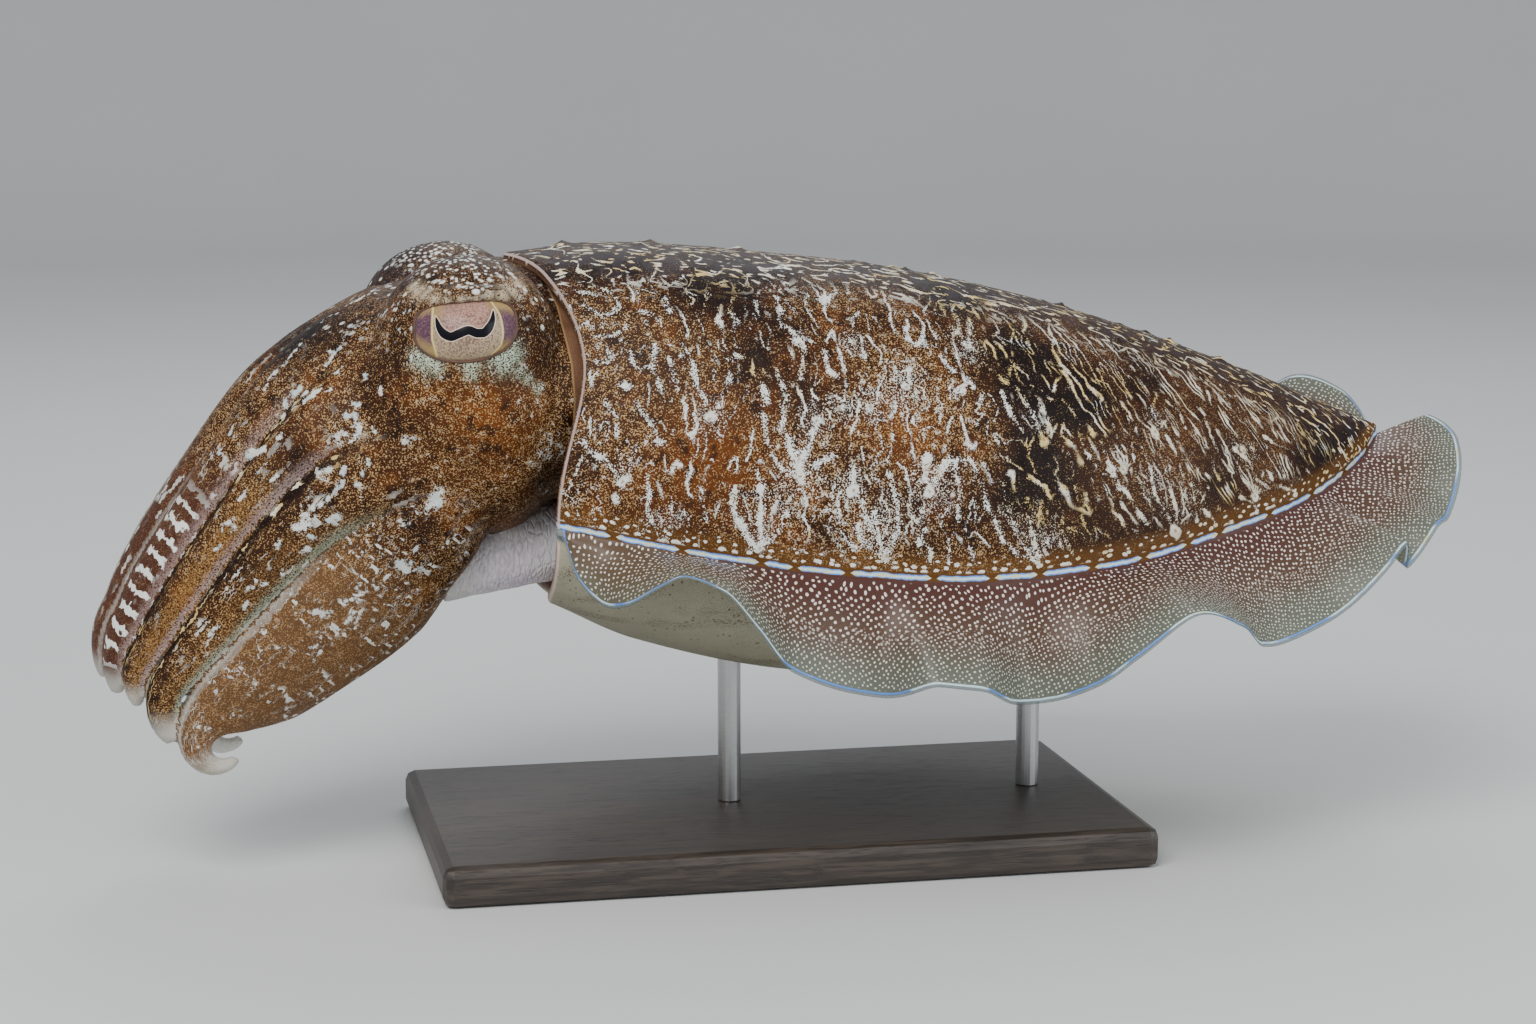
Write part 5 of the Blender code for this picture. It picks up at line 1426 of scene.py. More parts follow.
def mantle_finish(colours):
    """Brown mottled skin with winding white streaks, splashes, a row of spots and the pale blue fin line."""
    f = Finish("mantle skin")
    along, down, rise = f.split(f.attribute("place"))
    dark, warm, pale = f.split(f.attribute("tone"))
    off_along, off_down, weight = f.split(f.attribute("splash"))
    placed = f.attribute("streak", "Fac")
    below = f.split(f.attribute("fin"))[2]
    inside = f.attribute("inside", "Fac")
    depth = f.size_of(down)
    back = f.rise(depth, *BACK_ZONE)
    rear = f.rise(along, *REAR_ZONE)
    shade = f.least(dark + back * 0.45, 1.0)
    colour, grain, patch, deep, stipple = brown_ground(f, colours, shade, warm, pale)
    # Painted sheen: the back is tinted violet grey in patches, standing in for a wet shine from above
    colour = f.mix(back * f.rise(patch, 0.60, 0.40) * 0.85, colour, colours.back_sheen)
    colour = f.mix(rear * 0.6, colour, f.mix(deep, colours.mid_brown, colours.dark_brown))

    across = along - depth * (rear * 0.75 + 0.04)
    warp = f.split(f.noise(7.0, detail=2.0, output=1, seed=8))
    sway, slip = (warp[0] - 0.5) * 7.0, (warp[1] - 0.5) * 9.0
    width = f.noise(4.0, detail=2.0, seed=10)
    powder = (0.5 - grain) * (2.4 - rear * 1.6)
    broken = f.noise(8.0, f.combined(across, down * 0.6, 0.0), detail=1.0, seed=11, flat=True)
    main = f.winding(across + sway, down + slip, 5.6 - rear * 1.4, 19.0, 9.0)
    main = main + powder - width * 1.3
    main = f.rise(main + 0.22, 0.32, -0.28) * f.rise(broken + rear * 0.06, 0.50, 0.56)
    thin = f.winding(across + sway * 1.2 + 40.0, down + slip, 4.2 - rear * 1.2, 11.0, 30.0)
    thin = thin + powder - width * 0.7
    thin = f.rise(thin + 0.22, 0.28, -0.2) * f.rise(broken - rear * 0.08, 0.47, 0.42)
    flank = f.rise(depth, *FLANK_ZONE) * f.rise(rise, *STREAKS_FROM)
    clear = f.rise(placed, *CLEAR_OF_STREAK)
    stroke_gap = f.patchy(3.4, 0.60, 0.70, seed=35) * 0.8
    outside = placed + 0.46 + dark * 0.28 + powder * 1.5 - (width - 0.5) * 3.0 + stroke_gap
    drawn = f.rise(outside, 0.40, -0.30)
    streak = f.most(drawn, f.most(main, thin * 0.9) * flank * clear)

    fleck_at = f.combined(
        along / 2.4 + (warp[0] - 0.5) * 4.0, down + (warp[1] - 0.5) * 5.0 - along * 0.25, 0.0)
    dash = f.noise(1.7, fleck_at, detail=1.0, seed=13, flat=True)
    dash = f.rise(dash + (f.noise(9.0, seed=14) - 0.5) * 0.36 + powder * 0.04, 0.645, 0.70)
    ridge = f.winding(down + slip * 0.7 + 70.0, along + sway, 6.5, 12.0, 33.0)
    ridge = f.rise(ridge - width * 0.5 + powder * 0.4, 0.25, 0.0) * f.rise(broken, 0.52, 0.46)
    fleck = f.most(dash, ridge) * f.rise(depth, *FLECK_ZONE)

    reach = f.vector("LENGTH", f.combined(off_along, off_down, 0.0))
    fan, star = f.rise(weight, 0.0, 0.05), f.rise(weight, 0.0, -0.05)
    present = f.most(fan, star)
    turn = f.math("ARCTAN2", off_along + (warp[0] - 0.5) * 3.0, 0.0 - off_down)
    inside_fan = f.rise(f.size_of(turn), 0.95, 0.72)
    spoke = f.math("PINGPONG", turn + (warp[1] - 0.5) * 0.5, 0.17) * reach
    ray = f.rise(spoke + powder * 0.9 - width * 0.3, 0.35, 0.0)
    ray = ray * inside_fan * fan * f.rise(placed, 0.6, 1.6)
    strength = f.size_of(weight)
    spread = inside_fan * fan + star
    haze = f.rise(grain + strength * 0.09 + (patch - 0.5) * 0.4 - rear * 0.06, 0.63, 0.73)
    haze = haze * spread * f.rise(strength, 0.0, 0.2)
    core = f.rise(reach + (width - 0.5) * 6.0 + powder * 1.1, 1.9, 0.8)
    splash = f.most(f.most(ray * f.rise(strength, 0.05, 0.6) * 0.8, haze * 0.5), core * 0.95) * present

    golden = rear * 0.45 + back * 0.6 + f.rise(dark, 0.25, 0.6) + f.patchy(11.0, 0.54, 0.66, seed=15) * 0.35
    golden = f.least(golden, 1.0)
    light = f.mix(golden * f.patchy(5.0, 0.26, 0.56, seed=34), colours.white, colours.cream)
    mark = f.least(f.most(f.most(streak, fleck), splash), 1.0)
    colour = f.mix(mark * 0.95, colour, light)
    colour = f.mix(f.rise(reach + powder * 0.5, 0.7, 0.2) * present * 0.8, colour, colours.gold)

    band = f.rise(rise, *BAND_ZONE) * (1.0 - mark)
    colour = f.mix(band * (0.80 - stipple * 0.3), colour, colours.band_brown)
    row_at = f.combined(along / 3.4 + (warp[0] - 0.5) * 0.9, rise / 2.1 + (warp[1] - 0.5), 0.0)
    row = f.cells(1.0, row_at, spread=0.8, flat=True) * 3.2
    row = f.rise(row - width * 1.3 + powder * 0.3 + (rise - 4.5) * 0.14, 0.10, -0.12)
    row = row * f.rise(rise, *ROW_FOOT) * f.rise(rise, *ROW_TOP)
    colour = f.mix(row * 0.95, colour, light)
    colour = f.mix(f.rise(rise, *PLAIN_FOOT), colour, colours.band_brown)
    gap = f.breaks(DASH_LENGTH, along)
    ripple = f.noise(3.0, f.combined(along, 0.0, 0.0), seed=16) - 0.5
    off_line = f.size_of(rise - LINE_HEIGHT + ripple * 0.9) + (f.noise(2.2, seed=57) - 0.5) * 0.5
    on_line = f.rise(off_line - f.rise(gap, 0.5, 2.4) * 0.78, 0.1, -0.08) * f.rise(gap, 0.6, 0.9)
    line = f.mix(f.rise(off_line, 0.60, 0.20), colours.line_blue, colours.line_white)
    yellow = f.patchy(5.0, 0.48, 0.58, seed=17) * 0.8 * f.rise(off_line, 0.8, 0.3)
    line = f.mix(yellow, line, colours.line_yellow)
    colour = f.mix(on_line, colour, line)

    speck = f.rise(f.cells(1.8), 0.26, 0.14) * f.patchy(5.0, 0.44, 0.58, seed=18)
    under = f.mix(f.noise(12.0, detail=3.0, seed=19), colours.belly_shade, colours.belly)
    cloud = f.rise(f.noise(10.0, f.combined(along / 2.5, down, 0.0), detail=2.0, seed=56), 0.50, 0.66)
    under = f.mix(cloud * f.rise(grain, 0.42, 0.58) * 0.55, under, colours.belly_speck)
    under = f.mix(speck * 0.75, under, colours.belly_speck)
    colour = f.mix(f.rise(below, 0.3, 0.7), colour, under)
    lining = f.mix(f.noise(10.0, detail=3.0, seed=20), colours.lining_deep, colours.lining)
    colour = f.mix(f.rise(inside, 0.3, 0.6), colour, lining)
    colour = f.mix(f.rise(f.size_of(inside - 0.22), 0.14, 0.06) * 0.8, colour, colours.lip)
    height = stipple * 0.35 + mark * 0.5 + patch * 0.5 - deep * 0.1
    rough = 0.46 + stipple * 0.06 + mark * 0.06 + patch * 0.06
    return f.put(colour, rough, height, 0.35, specular=SKIN_SHINE)


def fin_finish(colours):
    """The thin fin: reddish brown to grey green, with pale dots, and a clear fringe outside a bright rim."""
    f = Finish("fin membrane")
    share, edge, below = f.split(f.attribute("fin"))
    along = f.split(f.attribute("place"))[0]
    spread = f.attribute("fin_map")
    broad = f.noise(22.0, detail=2.0, seed=21)
    front = f.rise(along, *FIN_FRONT_ZONE)
    drift = share + (broad - 0.5) * 0.3
    colour = f.mix(f.rise(drift, 0.02, 0.45), colours.fin_root, colours.fin_middle)
    colour = f.mix(f.rise(drift, 0.45, 0.95), colour, colours.fin_outer)
    colour = f.mix(front * 0.5, colour, colours.fin_front)
    sway = f.vector("SCALE", f.noise(9.0, detail=1.0, output=1, seed=22), scale=2.5)
    flat = f.vector("ADD", spread, sway)
    size = f.noise(2.4, flat, seed=23, flat=True)
    wide = f.cells(1.6, flat, spread=0.5, flat=True) * 1.6 - size * 0.26
    close = f.cells(1.2, flat, spread=0.45, flat=True) * 1.2 - size * 0.18
    outer = f.rise(share + front * 0.8 + (f.noise(6.0, seed=24) - 0.5) * 0.5, 0.38, 0.62)
    dots = f.rise(wide, 0.30, 0.14) * (1.0 - outer) + f.rise(close, 0.22, 0.10) * outer
    dots = dots * f.rise(edge, 1.6, 2.4) * f.rise(share * 30.0 + front, 0.5, 1.1)
    shade = f.mix(f.rise(share, 0.5, 0.95), colours.fin_dot, colours.fin_dot_outer)
    colour = f.mix(dots * 0.9, colour, shade)
    under = f.mix(f.noise(9.0, detail=3.0, seed=25), colours.belly_shade, colours.belly)
    speck = f.rise(f.cells(1.5), 0.24, 0.12) * f.patchy(4.0, 0.42, 0.56, seed=26)
    under = f.mix(speck * 0.7, under, colours.belly_speck)
    colour = f.mix(f.rise(below, 0.3, 0.7) * (1.0 - f.rise(share, 0.5, 1.0) * 0.5), colour, under)
    glow = f.noise(14.0, detail=1.0, seed=27)
    rim = f.mix(f.rise(glow, 0.42, 0.52), colours.line_blue, colours.line_white)
    rim = f.mix(f.rise(glow, 0.58, 0.66), rim, colours.line_yellow)
    on_rim = f.rise(f.size_of(edge - RIM_INSET + (size - 0.5) * 0.3), 0.42, 0.2)
    fringe = f.rise(edge, 1.0, 0.7)
    colour = f.mix(fringe * 0.8, colour, colours.fringe)
    colour = f.mix(on_rim * 0.85, colour, rim)
    alpha = 1.0 - fringe * 0.5
    height = dots * 0.8 + f.noise(3.0, detail=3.0, seed=28) * 0.5
    return f.put(colour, 0.34, height, 0.25, alpha, specular=FIN_SHINE)


def head_finish(colours):
    """The brown skin of head and arms, with the arms' dashes, bars, bands, golden faces and pale edges."""
    f = Finish("head and arm skin")
    dark, warm, pale = f.split(f.attribute("tone"))
    t, across, outward = f.split(f.attribute("arm"))
    first, second, third = f.split(f.attribute("pair", "Color"))
    fourth = f.attribute("pair", "Alpha")
    x, y, z = f.split(f.place)
    side = f.size_of(y)
    colour, grain, patch, _, stipple = brown_ground(f, colours, dark, warm, pale, 40.0)
    powder = (0.5 - grain) * 2.0
    # Painted sheen: the top of the head is tinted violet grey, standing in for a wet shine from above
    top = f.rise(z, *SHEEN_TOP_HEIGHT) * f.rise(side, *SHEEN_TOP_SIDE)
    colour = f.mix(top * 0.5, colour, colours.back_sheen)
    spot_at = f.combined(x / 1.9, y / 1.2, z / 1.3)
    spot_size = f.noise(4.0, seed=41)
    brow = f.combined((x - BROW_PLACE[0]) / 15.0, 0.0, (z - BROW_PLACE[1]) / 9.0)
    brow = f.rise(f.vector("LENGTH", brow), 1.2, 0.5)
    spot = f.rise(f.cells(1.7, f.combined(x, y, z), spread=0.9) * 1.7 - spot_size * 0.7, 0.35, 0.05)
    crown = f.rise(z, *CROWN_HEIGHT) * f.patchy(9.0, 0.44, 0.56, seed=42)
    fleck = f.rise(f.cells(2.3, spot_at) * 2.3 - spot_size * 0.7, 0.35, 0.02)
    colour = f.mix(f.most(spot * brow, fleck * crown) * 0.92, colour, colours.white)
    flare = f.attribute("flare", "Fac")
    colour = f.mix(f.least(flare * 1.1, 1.0) * f.rise(grain, 0.28, 0.52), colour, colours.flare)
    colour = f.mix(f.attribute("lid_patch", "Fac") * f.rise(grain, 0.36, 0.56), colour, colours.mint)

    placed = f.attribute("streak", "Fac")
    ragged = (f.noise(1.7, detail=2.0, seed=50) - 0.5) * 3.6 + (f.noise(4.5, seed=53) - 0.5) * 1.6
    blot = f.rise(placed + 0.16 + powder * 0.6 - ragged, 0.40, -0.35)
    outer = f.rise(outward, *OUTER_FACE)
    order = second + third * 2.0 + fourth * 3.0
    length = t * ARM_LENGTH
    girth = across * ARM_GIRTH
    sway = (f.noise(5.0, seed=43) - 0.5) * 2.4
    lane = girth + sway + order * 37.0 + f.rise(y, *LEFT_TO_RIGHT) * 90.0
    dash = f.noise(1.9, f.combined(length / 3.2, lane, 0.0), detail=1.0, seed=44, flat=True)
    dash = f.rise(dash, 0.60, 0.66)
    fine = f.noise(0.9, f.combined(length / 2.6, lane, 0.0), detail=1.0, seed=49, flat=True)
    fine = f.rise(fine, 0.56, 0.64)
    reach = f.rise(t, 0.10, 0.30)
    upper_band = f.rise(across, *UPPER_BAND) * outer * reach
    colour = f.mix((second + third) * upper_band * 0.85, colour, colours.dark_brown)
    colour = f.mix(first * f.rise(t, 0.40, 0.58) * outer * 0.75, colour, colours.bar_brown)
    golden = f.rise(across, *GOLDEN_LOW) * f.rise(across, *GOLDEN_HIGH) * outer * f.rise(t, 0.32, 0.55)
    colour = f.mix(second * golden * 0.6 * f.rise(grain, 0.30, 0.60), colour, colours.golden)
    colour = f.mix(third * golden * 0.35 * f.rise(grain, 0.35, 0.60), colour, colours.golden)
    colour = f.mix(fourth * f.rise(t, 0.25, 0.5) * 0.45, colour, colours.arm_tan)
    edge = f.rise(across, *LOWER_EDGE) * outer * f.rise(t, 0.16, 0.40)
    colour = f.mix(edge * (second * 0.7 + first * 0.5) * f.rise(grain, 0.3, 0.5), colour, colours.lilac)
    colour = f.mix(edge * edge * third * 0.55 * f.rise(grain, 0.32, 0.55), colour, colours.mint)

    stripe = f.math("PINGPONG", length / 2.6 + (f.noise(4.5, seed=45) - 0.5) * 1.8, 1.0)
    uneven = (f.noise(2.2, detail=1.0, seed=54) - 0.5) * 0.9
    stretch = (f.noise(4.0, seed=58) - 0.5) * 0.9
    bar = f.rise(stripe + powder * 0.12 + uneven, 0.42, 0.30)
    bar = bar * f.rise(f.size_of(across - 0.15) + stretch, 0.60, 0.48)
    bar = bar * first * f.rise(t, 0.50, 0.60) * f.rise(t, 0.97, 0.90) * outer
    near_side = f.rise(y, *NEAR_SIDE)
    colour = f.mix(bar * near_side * 0.95, colour, colours.white)
    ghost = first * (1.0 - near_side) * f.rise(t, 0.42, 0.60)
    colour = f.mix(ghost * 0.6, colour, colours.grey_flesh)
    colour = f.mix(ghost * fine * 0.6, colour, colours.white)
    row = dash * upper_band * (second + third)
    colour = f.mix(row * 0.95, colour, colours.cream)
    loose = dash * f.patchy(11.0, 0.50, 0.60, seed=46) * outer * reach * f.rise(t, 0.9, 0.8)
    colour = f.mix(loose * (third * 0.7 + first * 0.6 + second * 0.25) * 0.9, colour, colours.white)
    freckle_at = f.combined(length / 2.4, lane + across * 26.0, 0.0)
    freckle = f.rise(f.noise(0.8, freckle_at, detail=1.0, seed=55, flat=True), 0.61, 0.69)
    freckle = freckle * fourth * outer * f.patchy(9.0, 0.42, 0.54, seed=47)
    colour = f.mix(freckle * 0.8, colour, colours.white)
    blot_colour = f.mix(f.patchy(8.0, 0.45, 0.6, seed=51), colours.white, colours.pale_blue)
    colour = f.mix(blot * 0.85, colour, blot_colour)

    rim = f.rise(f.size_of(across), *RIM_EDGE) * f.rise(t, 0.42, 0.62) * outer
    colour = f.mix(rim * (first * 0.4 + fourth * 0.55 + third * 0.5), colour, colours.pale_edge)
    oral = (1.0 - outer) * f.least(first + second + third + fourth, 1.0) * f.rise(t, 0.05, 0.2)
    flesh = f.mix(f.noise(6.0, detail=3.0, seed=48), colours.oral_shade, colours.oral)
    colour = f.mix(oral, colour, flesh)
    colour = f.mix(f.rise(t, 0.93, 0.99) * 0.6, colour, colours.pale_edge)
    rough = 0.46 + stipple * 0.06 + patch * 0.08
    height = stipple * 0.35 + patch * 0.5 + row * 0.3 + blot * 0.4
    collar = f.attribute("collar", "Fac")
    plain = f.rise(collar, -0.3, 0.5)
    band = f.mix(f.noise(7.0, detail=3.0, seed=52), colours.lining_deep, colours.lining)
    colour = f.mix(plain, colour, band)
    colour = f.mix(f.rise(f.size_of(collar), 0.40, 0.15) * 0.6, colour, colours.beige)
    return f.put(colour, rough, height, 0.35, specular=SKIN_SHINE)


def eye_finish(colours):
    """A wet eye: black W-shaped pupil with a pale outline, pink flap, violet crescents and yellow arcs."""
    f = Finish("eye")
    across, high, share = f.split(f.attribute("eye_place"))
    pupil, crescent, above = f.split(f.attribute("eye_marks"))
    grain = f.noise(0.55, detail=2.0, rough=0.7, seed=60)
    soft = f.noise(3.5, detail=2.0, seed=61)
    flap = f.mix(f.rise(grain + (soft - 0.5) * 0.3, 0.44, 0.58), colours.eye_flap_shade, colours.eye_flap)
    flap = f.mix(f.rise(above, 3.4, 5.6) * 0.35, flap, colours.eye_flap)
    low = f.mix(f.rise(grain + f.size_of(across) * 0.008 + pupil * 0.012, 0.46, 0.62),
                colours.eye_low_shade, colours.eye_low)
    flap = f.mix(f.rise(f.size_of(across) + high * 0.4, 7.4, 9.6) * 0.6, flap, colours.eye_gold)
    colour = f.mix(f.rise(above, -0.2, 0.2), low, flap)
    violet = f.mix(f.rise(high + (soft - 0.5) * 5.0, -1.0, -6.0), colours.eye_violet, colours.eye_gold)
    violet = f.mix(f.rise(crescent, 2.2, 4.2) * f.rise(high, 1.0, -3.0) * 0.6, violet, colours.eye_gold)
    upper = f.rise(high + crescent * 0.5 + (soft - 0.5) * 4.0, 4.0, 8.0)
    violet = f.mix(upper * 0.9, violet, colours.eye_gold)
    violet = f.mix(f.rise(grain, 0.45, 0.65) * 0.3, violet, colours.eye_flap)
    colour = f.mix(f.rise(crescent, -0.1, 0.25), colour, violet)
    colour = f.mix(f.rise(f.size_of(crescent), 0.42, 0.10) * 0.85, colour, colours.eye_yellow)
    colour = f.mix(f.rise(pupil, 0.36, 0.18) * 0.85, colour, colours.eye_outline)
    colour = f.mix(f.rise(pupil, 0.10, -0.02), colour, colours.pupil)
    edge = f.mix(f.patchy(4.0, 0.4, 0.6, seed=62), colours.rim_orange, colours.rim_brown)
    colour = f.mix(f.rise(share, 0.99, 1.0), colour, edge)
    rough = 0.22 + f.rise(share, 0.99, 1.02) * 0.2
    height = grain * f.rise(pupil, 0.0, 0.4) * 0.3
    return f.put(colour, rough, height, 0.04, specular=EYE_SHINE, coat=0.1, coat_roughness=0.2)


def sucker_finish(colours):
    """Pale suckers, clouded with the shade of the arms' inner faces."""
    f = Finish("sucker flesh")
    colour = f.mix(f.noise(1.2, detail=2.0, seed=70), colours.oral_shade, colours.sucker)
    return f.put(colour, 0.34 + f.noise(0.6, seed=71) * 0.12, f.noise(0.5, seed=72), 0.1)


def funnel_finish(colours):
    """Lilac white flesh with fine wrinkles round it."""
    f = Finish("funnel flesh")
    x, y, z = f.split(f.place)
    wrinkle_at = f.combined(x, y / 2.6, z / 2.6)
    wrinkle = f.noise(0.9, wrinkle_at, detail=3.0, rough=0.6, seed=80)
    net = f.cells(1.5, wrinkle_at, "DISTANCE_TO_EDGE")
    soft = f.noise(9.0, detail=2.0, seed=81)
    colour = f.mix(f.rise(wrinkle, 0.35, 0.65), colours.funnel_shade, colours.funnel)
    colour = f.mix(f.rise(soft, 0.4, 0.7) * 0.5, colour, colours.white)
    colour = f.mix(f.rise(x, -84.0, -95.0) * 0.5, colour, colours.pale_edge)
    return f.put(colour, 0.34 + wrinkle * 0.14, f.rise(net, 0.0, 0.22) * 0.7 + wrinkle * 0.6, 0.4)


def mouth_finish(colours):
    """The pinkish membrane round the beak."""
    f = Finish("mouth flesh")
    soft = f.noise(3.0, detail=3.0, seed=82)
    return f.put(f.mix(soft, colours.oral_shade, colours.lip), 0.35 + soft * 0.1, soft, 0.4)


def beak_finish(colours):
    """Dark horn, browner where it is thin."""
    f = Finish("beak horn")
    grain = f.noise(1.5, detail=3.0, seed=83)
    return f.put(f.mix(grain, colours.pupil, colours.dark_brown), 0.22 + grain * 0.15, grain, 0.1)


def board_finish(colours):
    """A dark stained wooden board with open grain along its length."""
    f = Finish("stained board")
    x, y, z = f.split(f.place)
    sway = (f.noise(40.0, detail=2.0, seed=90) - 0.5) * 10.0
    grain = f.noise(1.0, f.combined(x / 34.0, (y + sway) / 1.6, z / 1.6), detail=4.0, rough=0.6, seed=91)
    pores = f.noise(1.0, f.combined(x / 9.0, (y + sway) / 0.45, z / 0.45), detail=1.0, seed=92)
    pores = f.rise(pores, 0.60, 0.72)
    colour = f.mix(f.rise(grain, 0.35, 0.68), colours.board_dark, colours.board)
    colour = f.mix(pores * 0.8, colour, colours.board_dark)
    return f.put(colour, 0.36 + grain * 0.2, grain * 0.5 - pores * 0.8, 0.12)


def steel_finish(colours):
    """Brushed stainless steel rods, with fine rings left by the turning."""
    f = Finish("brushed steel")
    x, y, z = f.split(f.place)
    brushed = f.noise(1.0, f.combined(x / 3.0, y / 3.0, z / 0.22), detail=2.0, seed=93)
    smear = f.noise(12.0, detail=2.0, seed=94)
    colour = f.mix(brushed, colours.steel_dark, colours.steel)
    return f.put(colour, 0.22 + brushed * 0.16 + smear * 0.10, brushed, 0.03, metallic=1.0)


def floor_finish(colours):
    """Plain pale backdrop, with the faintest unevenness."""
    f = Finish("studio floor")
    soft = f.noise(300.0, detail=2.0, seed=95)
    return f.put(f.mix(soft, colours.floor, colours.floor_light), 0.7 + soft * 0.1)


# Stand and studio

def make_stage(settings):
    """A pale floor that curves up all round into a low wall."""
    bpy.ops.object.select_all(action="DESELECT")
    bpy.ops.mesh.primitive_circle_add(vertices=128, radius=settings.floor_radius * MM, fill_type="NGON")
    floor = bpy.context.object
    floor.name = floor.data.name = "studio_floor"
    bpy.ops.object.mode_set(mode="EDIT")
    bpy.ops.mesh.select_mode(type="EDGE")
    bpy.ops.mesh.select_all(action="SELECT")
    bend = settings.floor_radius * FLOOR_BEND * MM
    for step in range(1, FLOOR_STEPS + 1):
        angle, before = (math.pi / 2 * turn / FLOOR_STEPS for turn in (step, step - 1))
        bpy.ops.mesh.select_all(action="SELECT")
        bpy.ops.mesh.region_to_loop()
        bpy.ops.mesh.extrude_region_move()
        now = settings.floor_radius * MM + bend * math.sin(angle)
        last = settings.floor_radius * MM + bend * math.sin(before)
        bpy.ops.transform.resize(value=(now / last, now / last, 1.0), center_override=(0.0, 0.0, 0.0))
        bpy.ops.transform.translate(value=(0.0, 0.0, bend * (math.cos(before) - math.cos(angle))))
    bpy.ops.mesh.select_all(action="SELECT")
    bpy.ops.mesh.normals_make_consistent(inside=True)
    bpy.ops.object.mode_set(mode="OBJECT")
    bpy.ops.object.shade_smooth_by_angle(angle=math.radians(30.0))
    return floor


def aim(thing, place, target):
    """Puts a light or camera at a place in mm and turns it to a target."""
    thing.location = Vector(place) * MM
    thing.rotation_euler = (Vector(target) - Vector(place)).to_track_quat("-Z", "Y").to_euler()


def add_light(name, place, power, size, colour):
    """An area light, aimed at the animal."""
    bpy.ops.object.select_all(action="DESELECT")
    bpy.ops.object.light_add(type="AREA")
    light = bpy.context.object
    light.name = light.data.name = name
    light.data.energy, light.data.size, light.data.color = power, size, colour
    aim(light, place, (0.0, 0.0, 100.0))


def add_camera():
    """The camera at the photo's angle."""
    place = camera_frame()[0]
    bpy.ops.object.select_all(action="DESELECT")
    bpy.ops.object.camera_add()
    camera = bpy.context.object
    camera.name = "photo_camera"
    camera.data.lens, camera.data.sensor_width, camera.data.clip_start = LENS, SENSOR, 0.01
    aim(camera, place, CAMERA_TARGET)
    bpy.context.scene.camera = camera


def add_world(settings):
    """Even light from all round."""
    world = bpy.data.worlds.new("studio light")
    world.use_nodes = True
    sky = world.node_tree.nodes["Background"]
    sky.inputs["Color"].default_value = (*settings.world_colour, 1.0)
    sky.inputs["Strength"].default_value = settings.world_strength
    bpy.context.scene.world = world


# Add-on

def colour_of(name, description, default):
    """A colour for the sidebar."""
    return bpy.props.FloatVectorProperty(
        name=name, description=description, default=default, subtype="COLOR", size=3, min=0.0, max=1.0)


def amount_of(name, description, default, low, high=NO_LIMIT, subtype="NONE"):
    """A number for the sidebar, with its limits."""
    return bpy.props.FloatProperty(
        name=name, description=description, default=default, min=low, max=high, subtype=subtype)


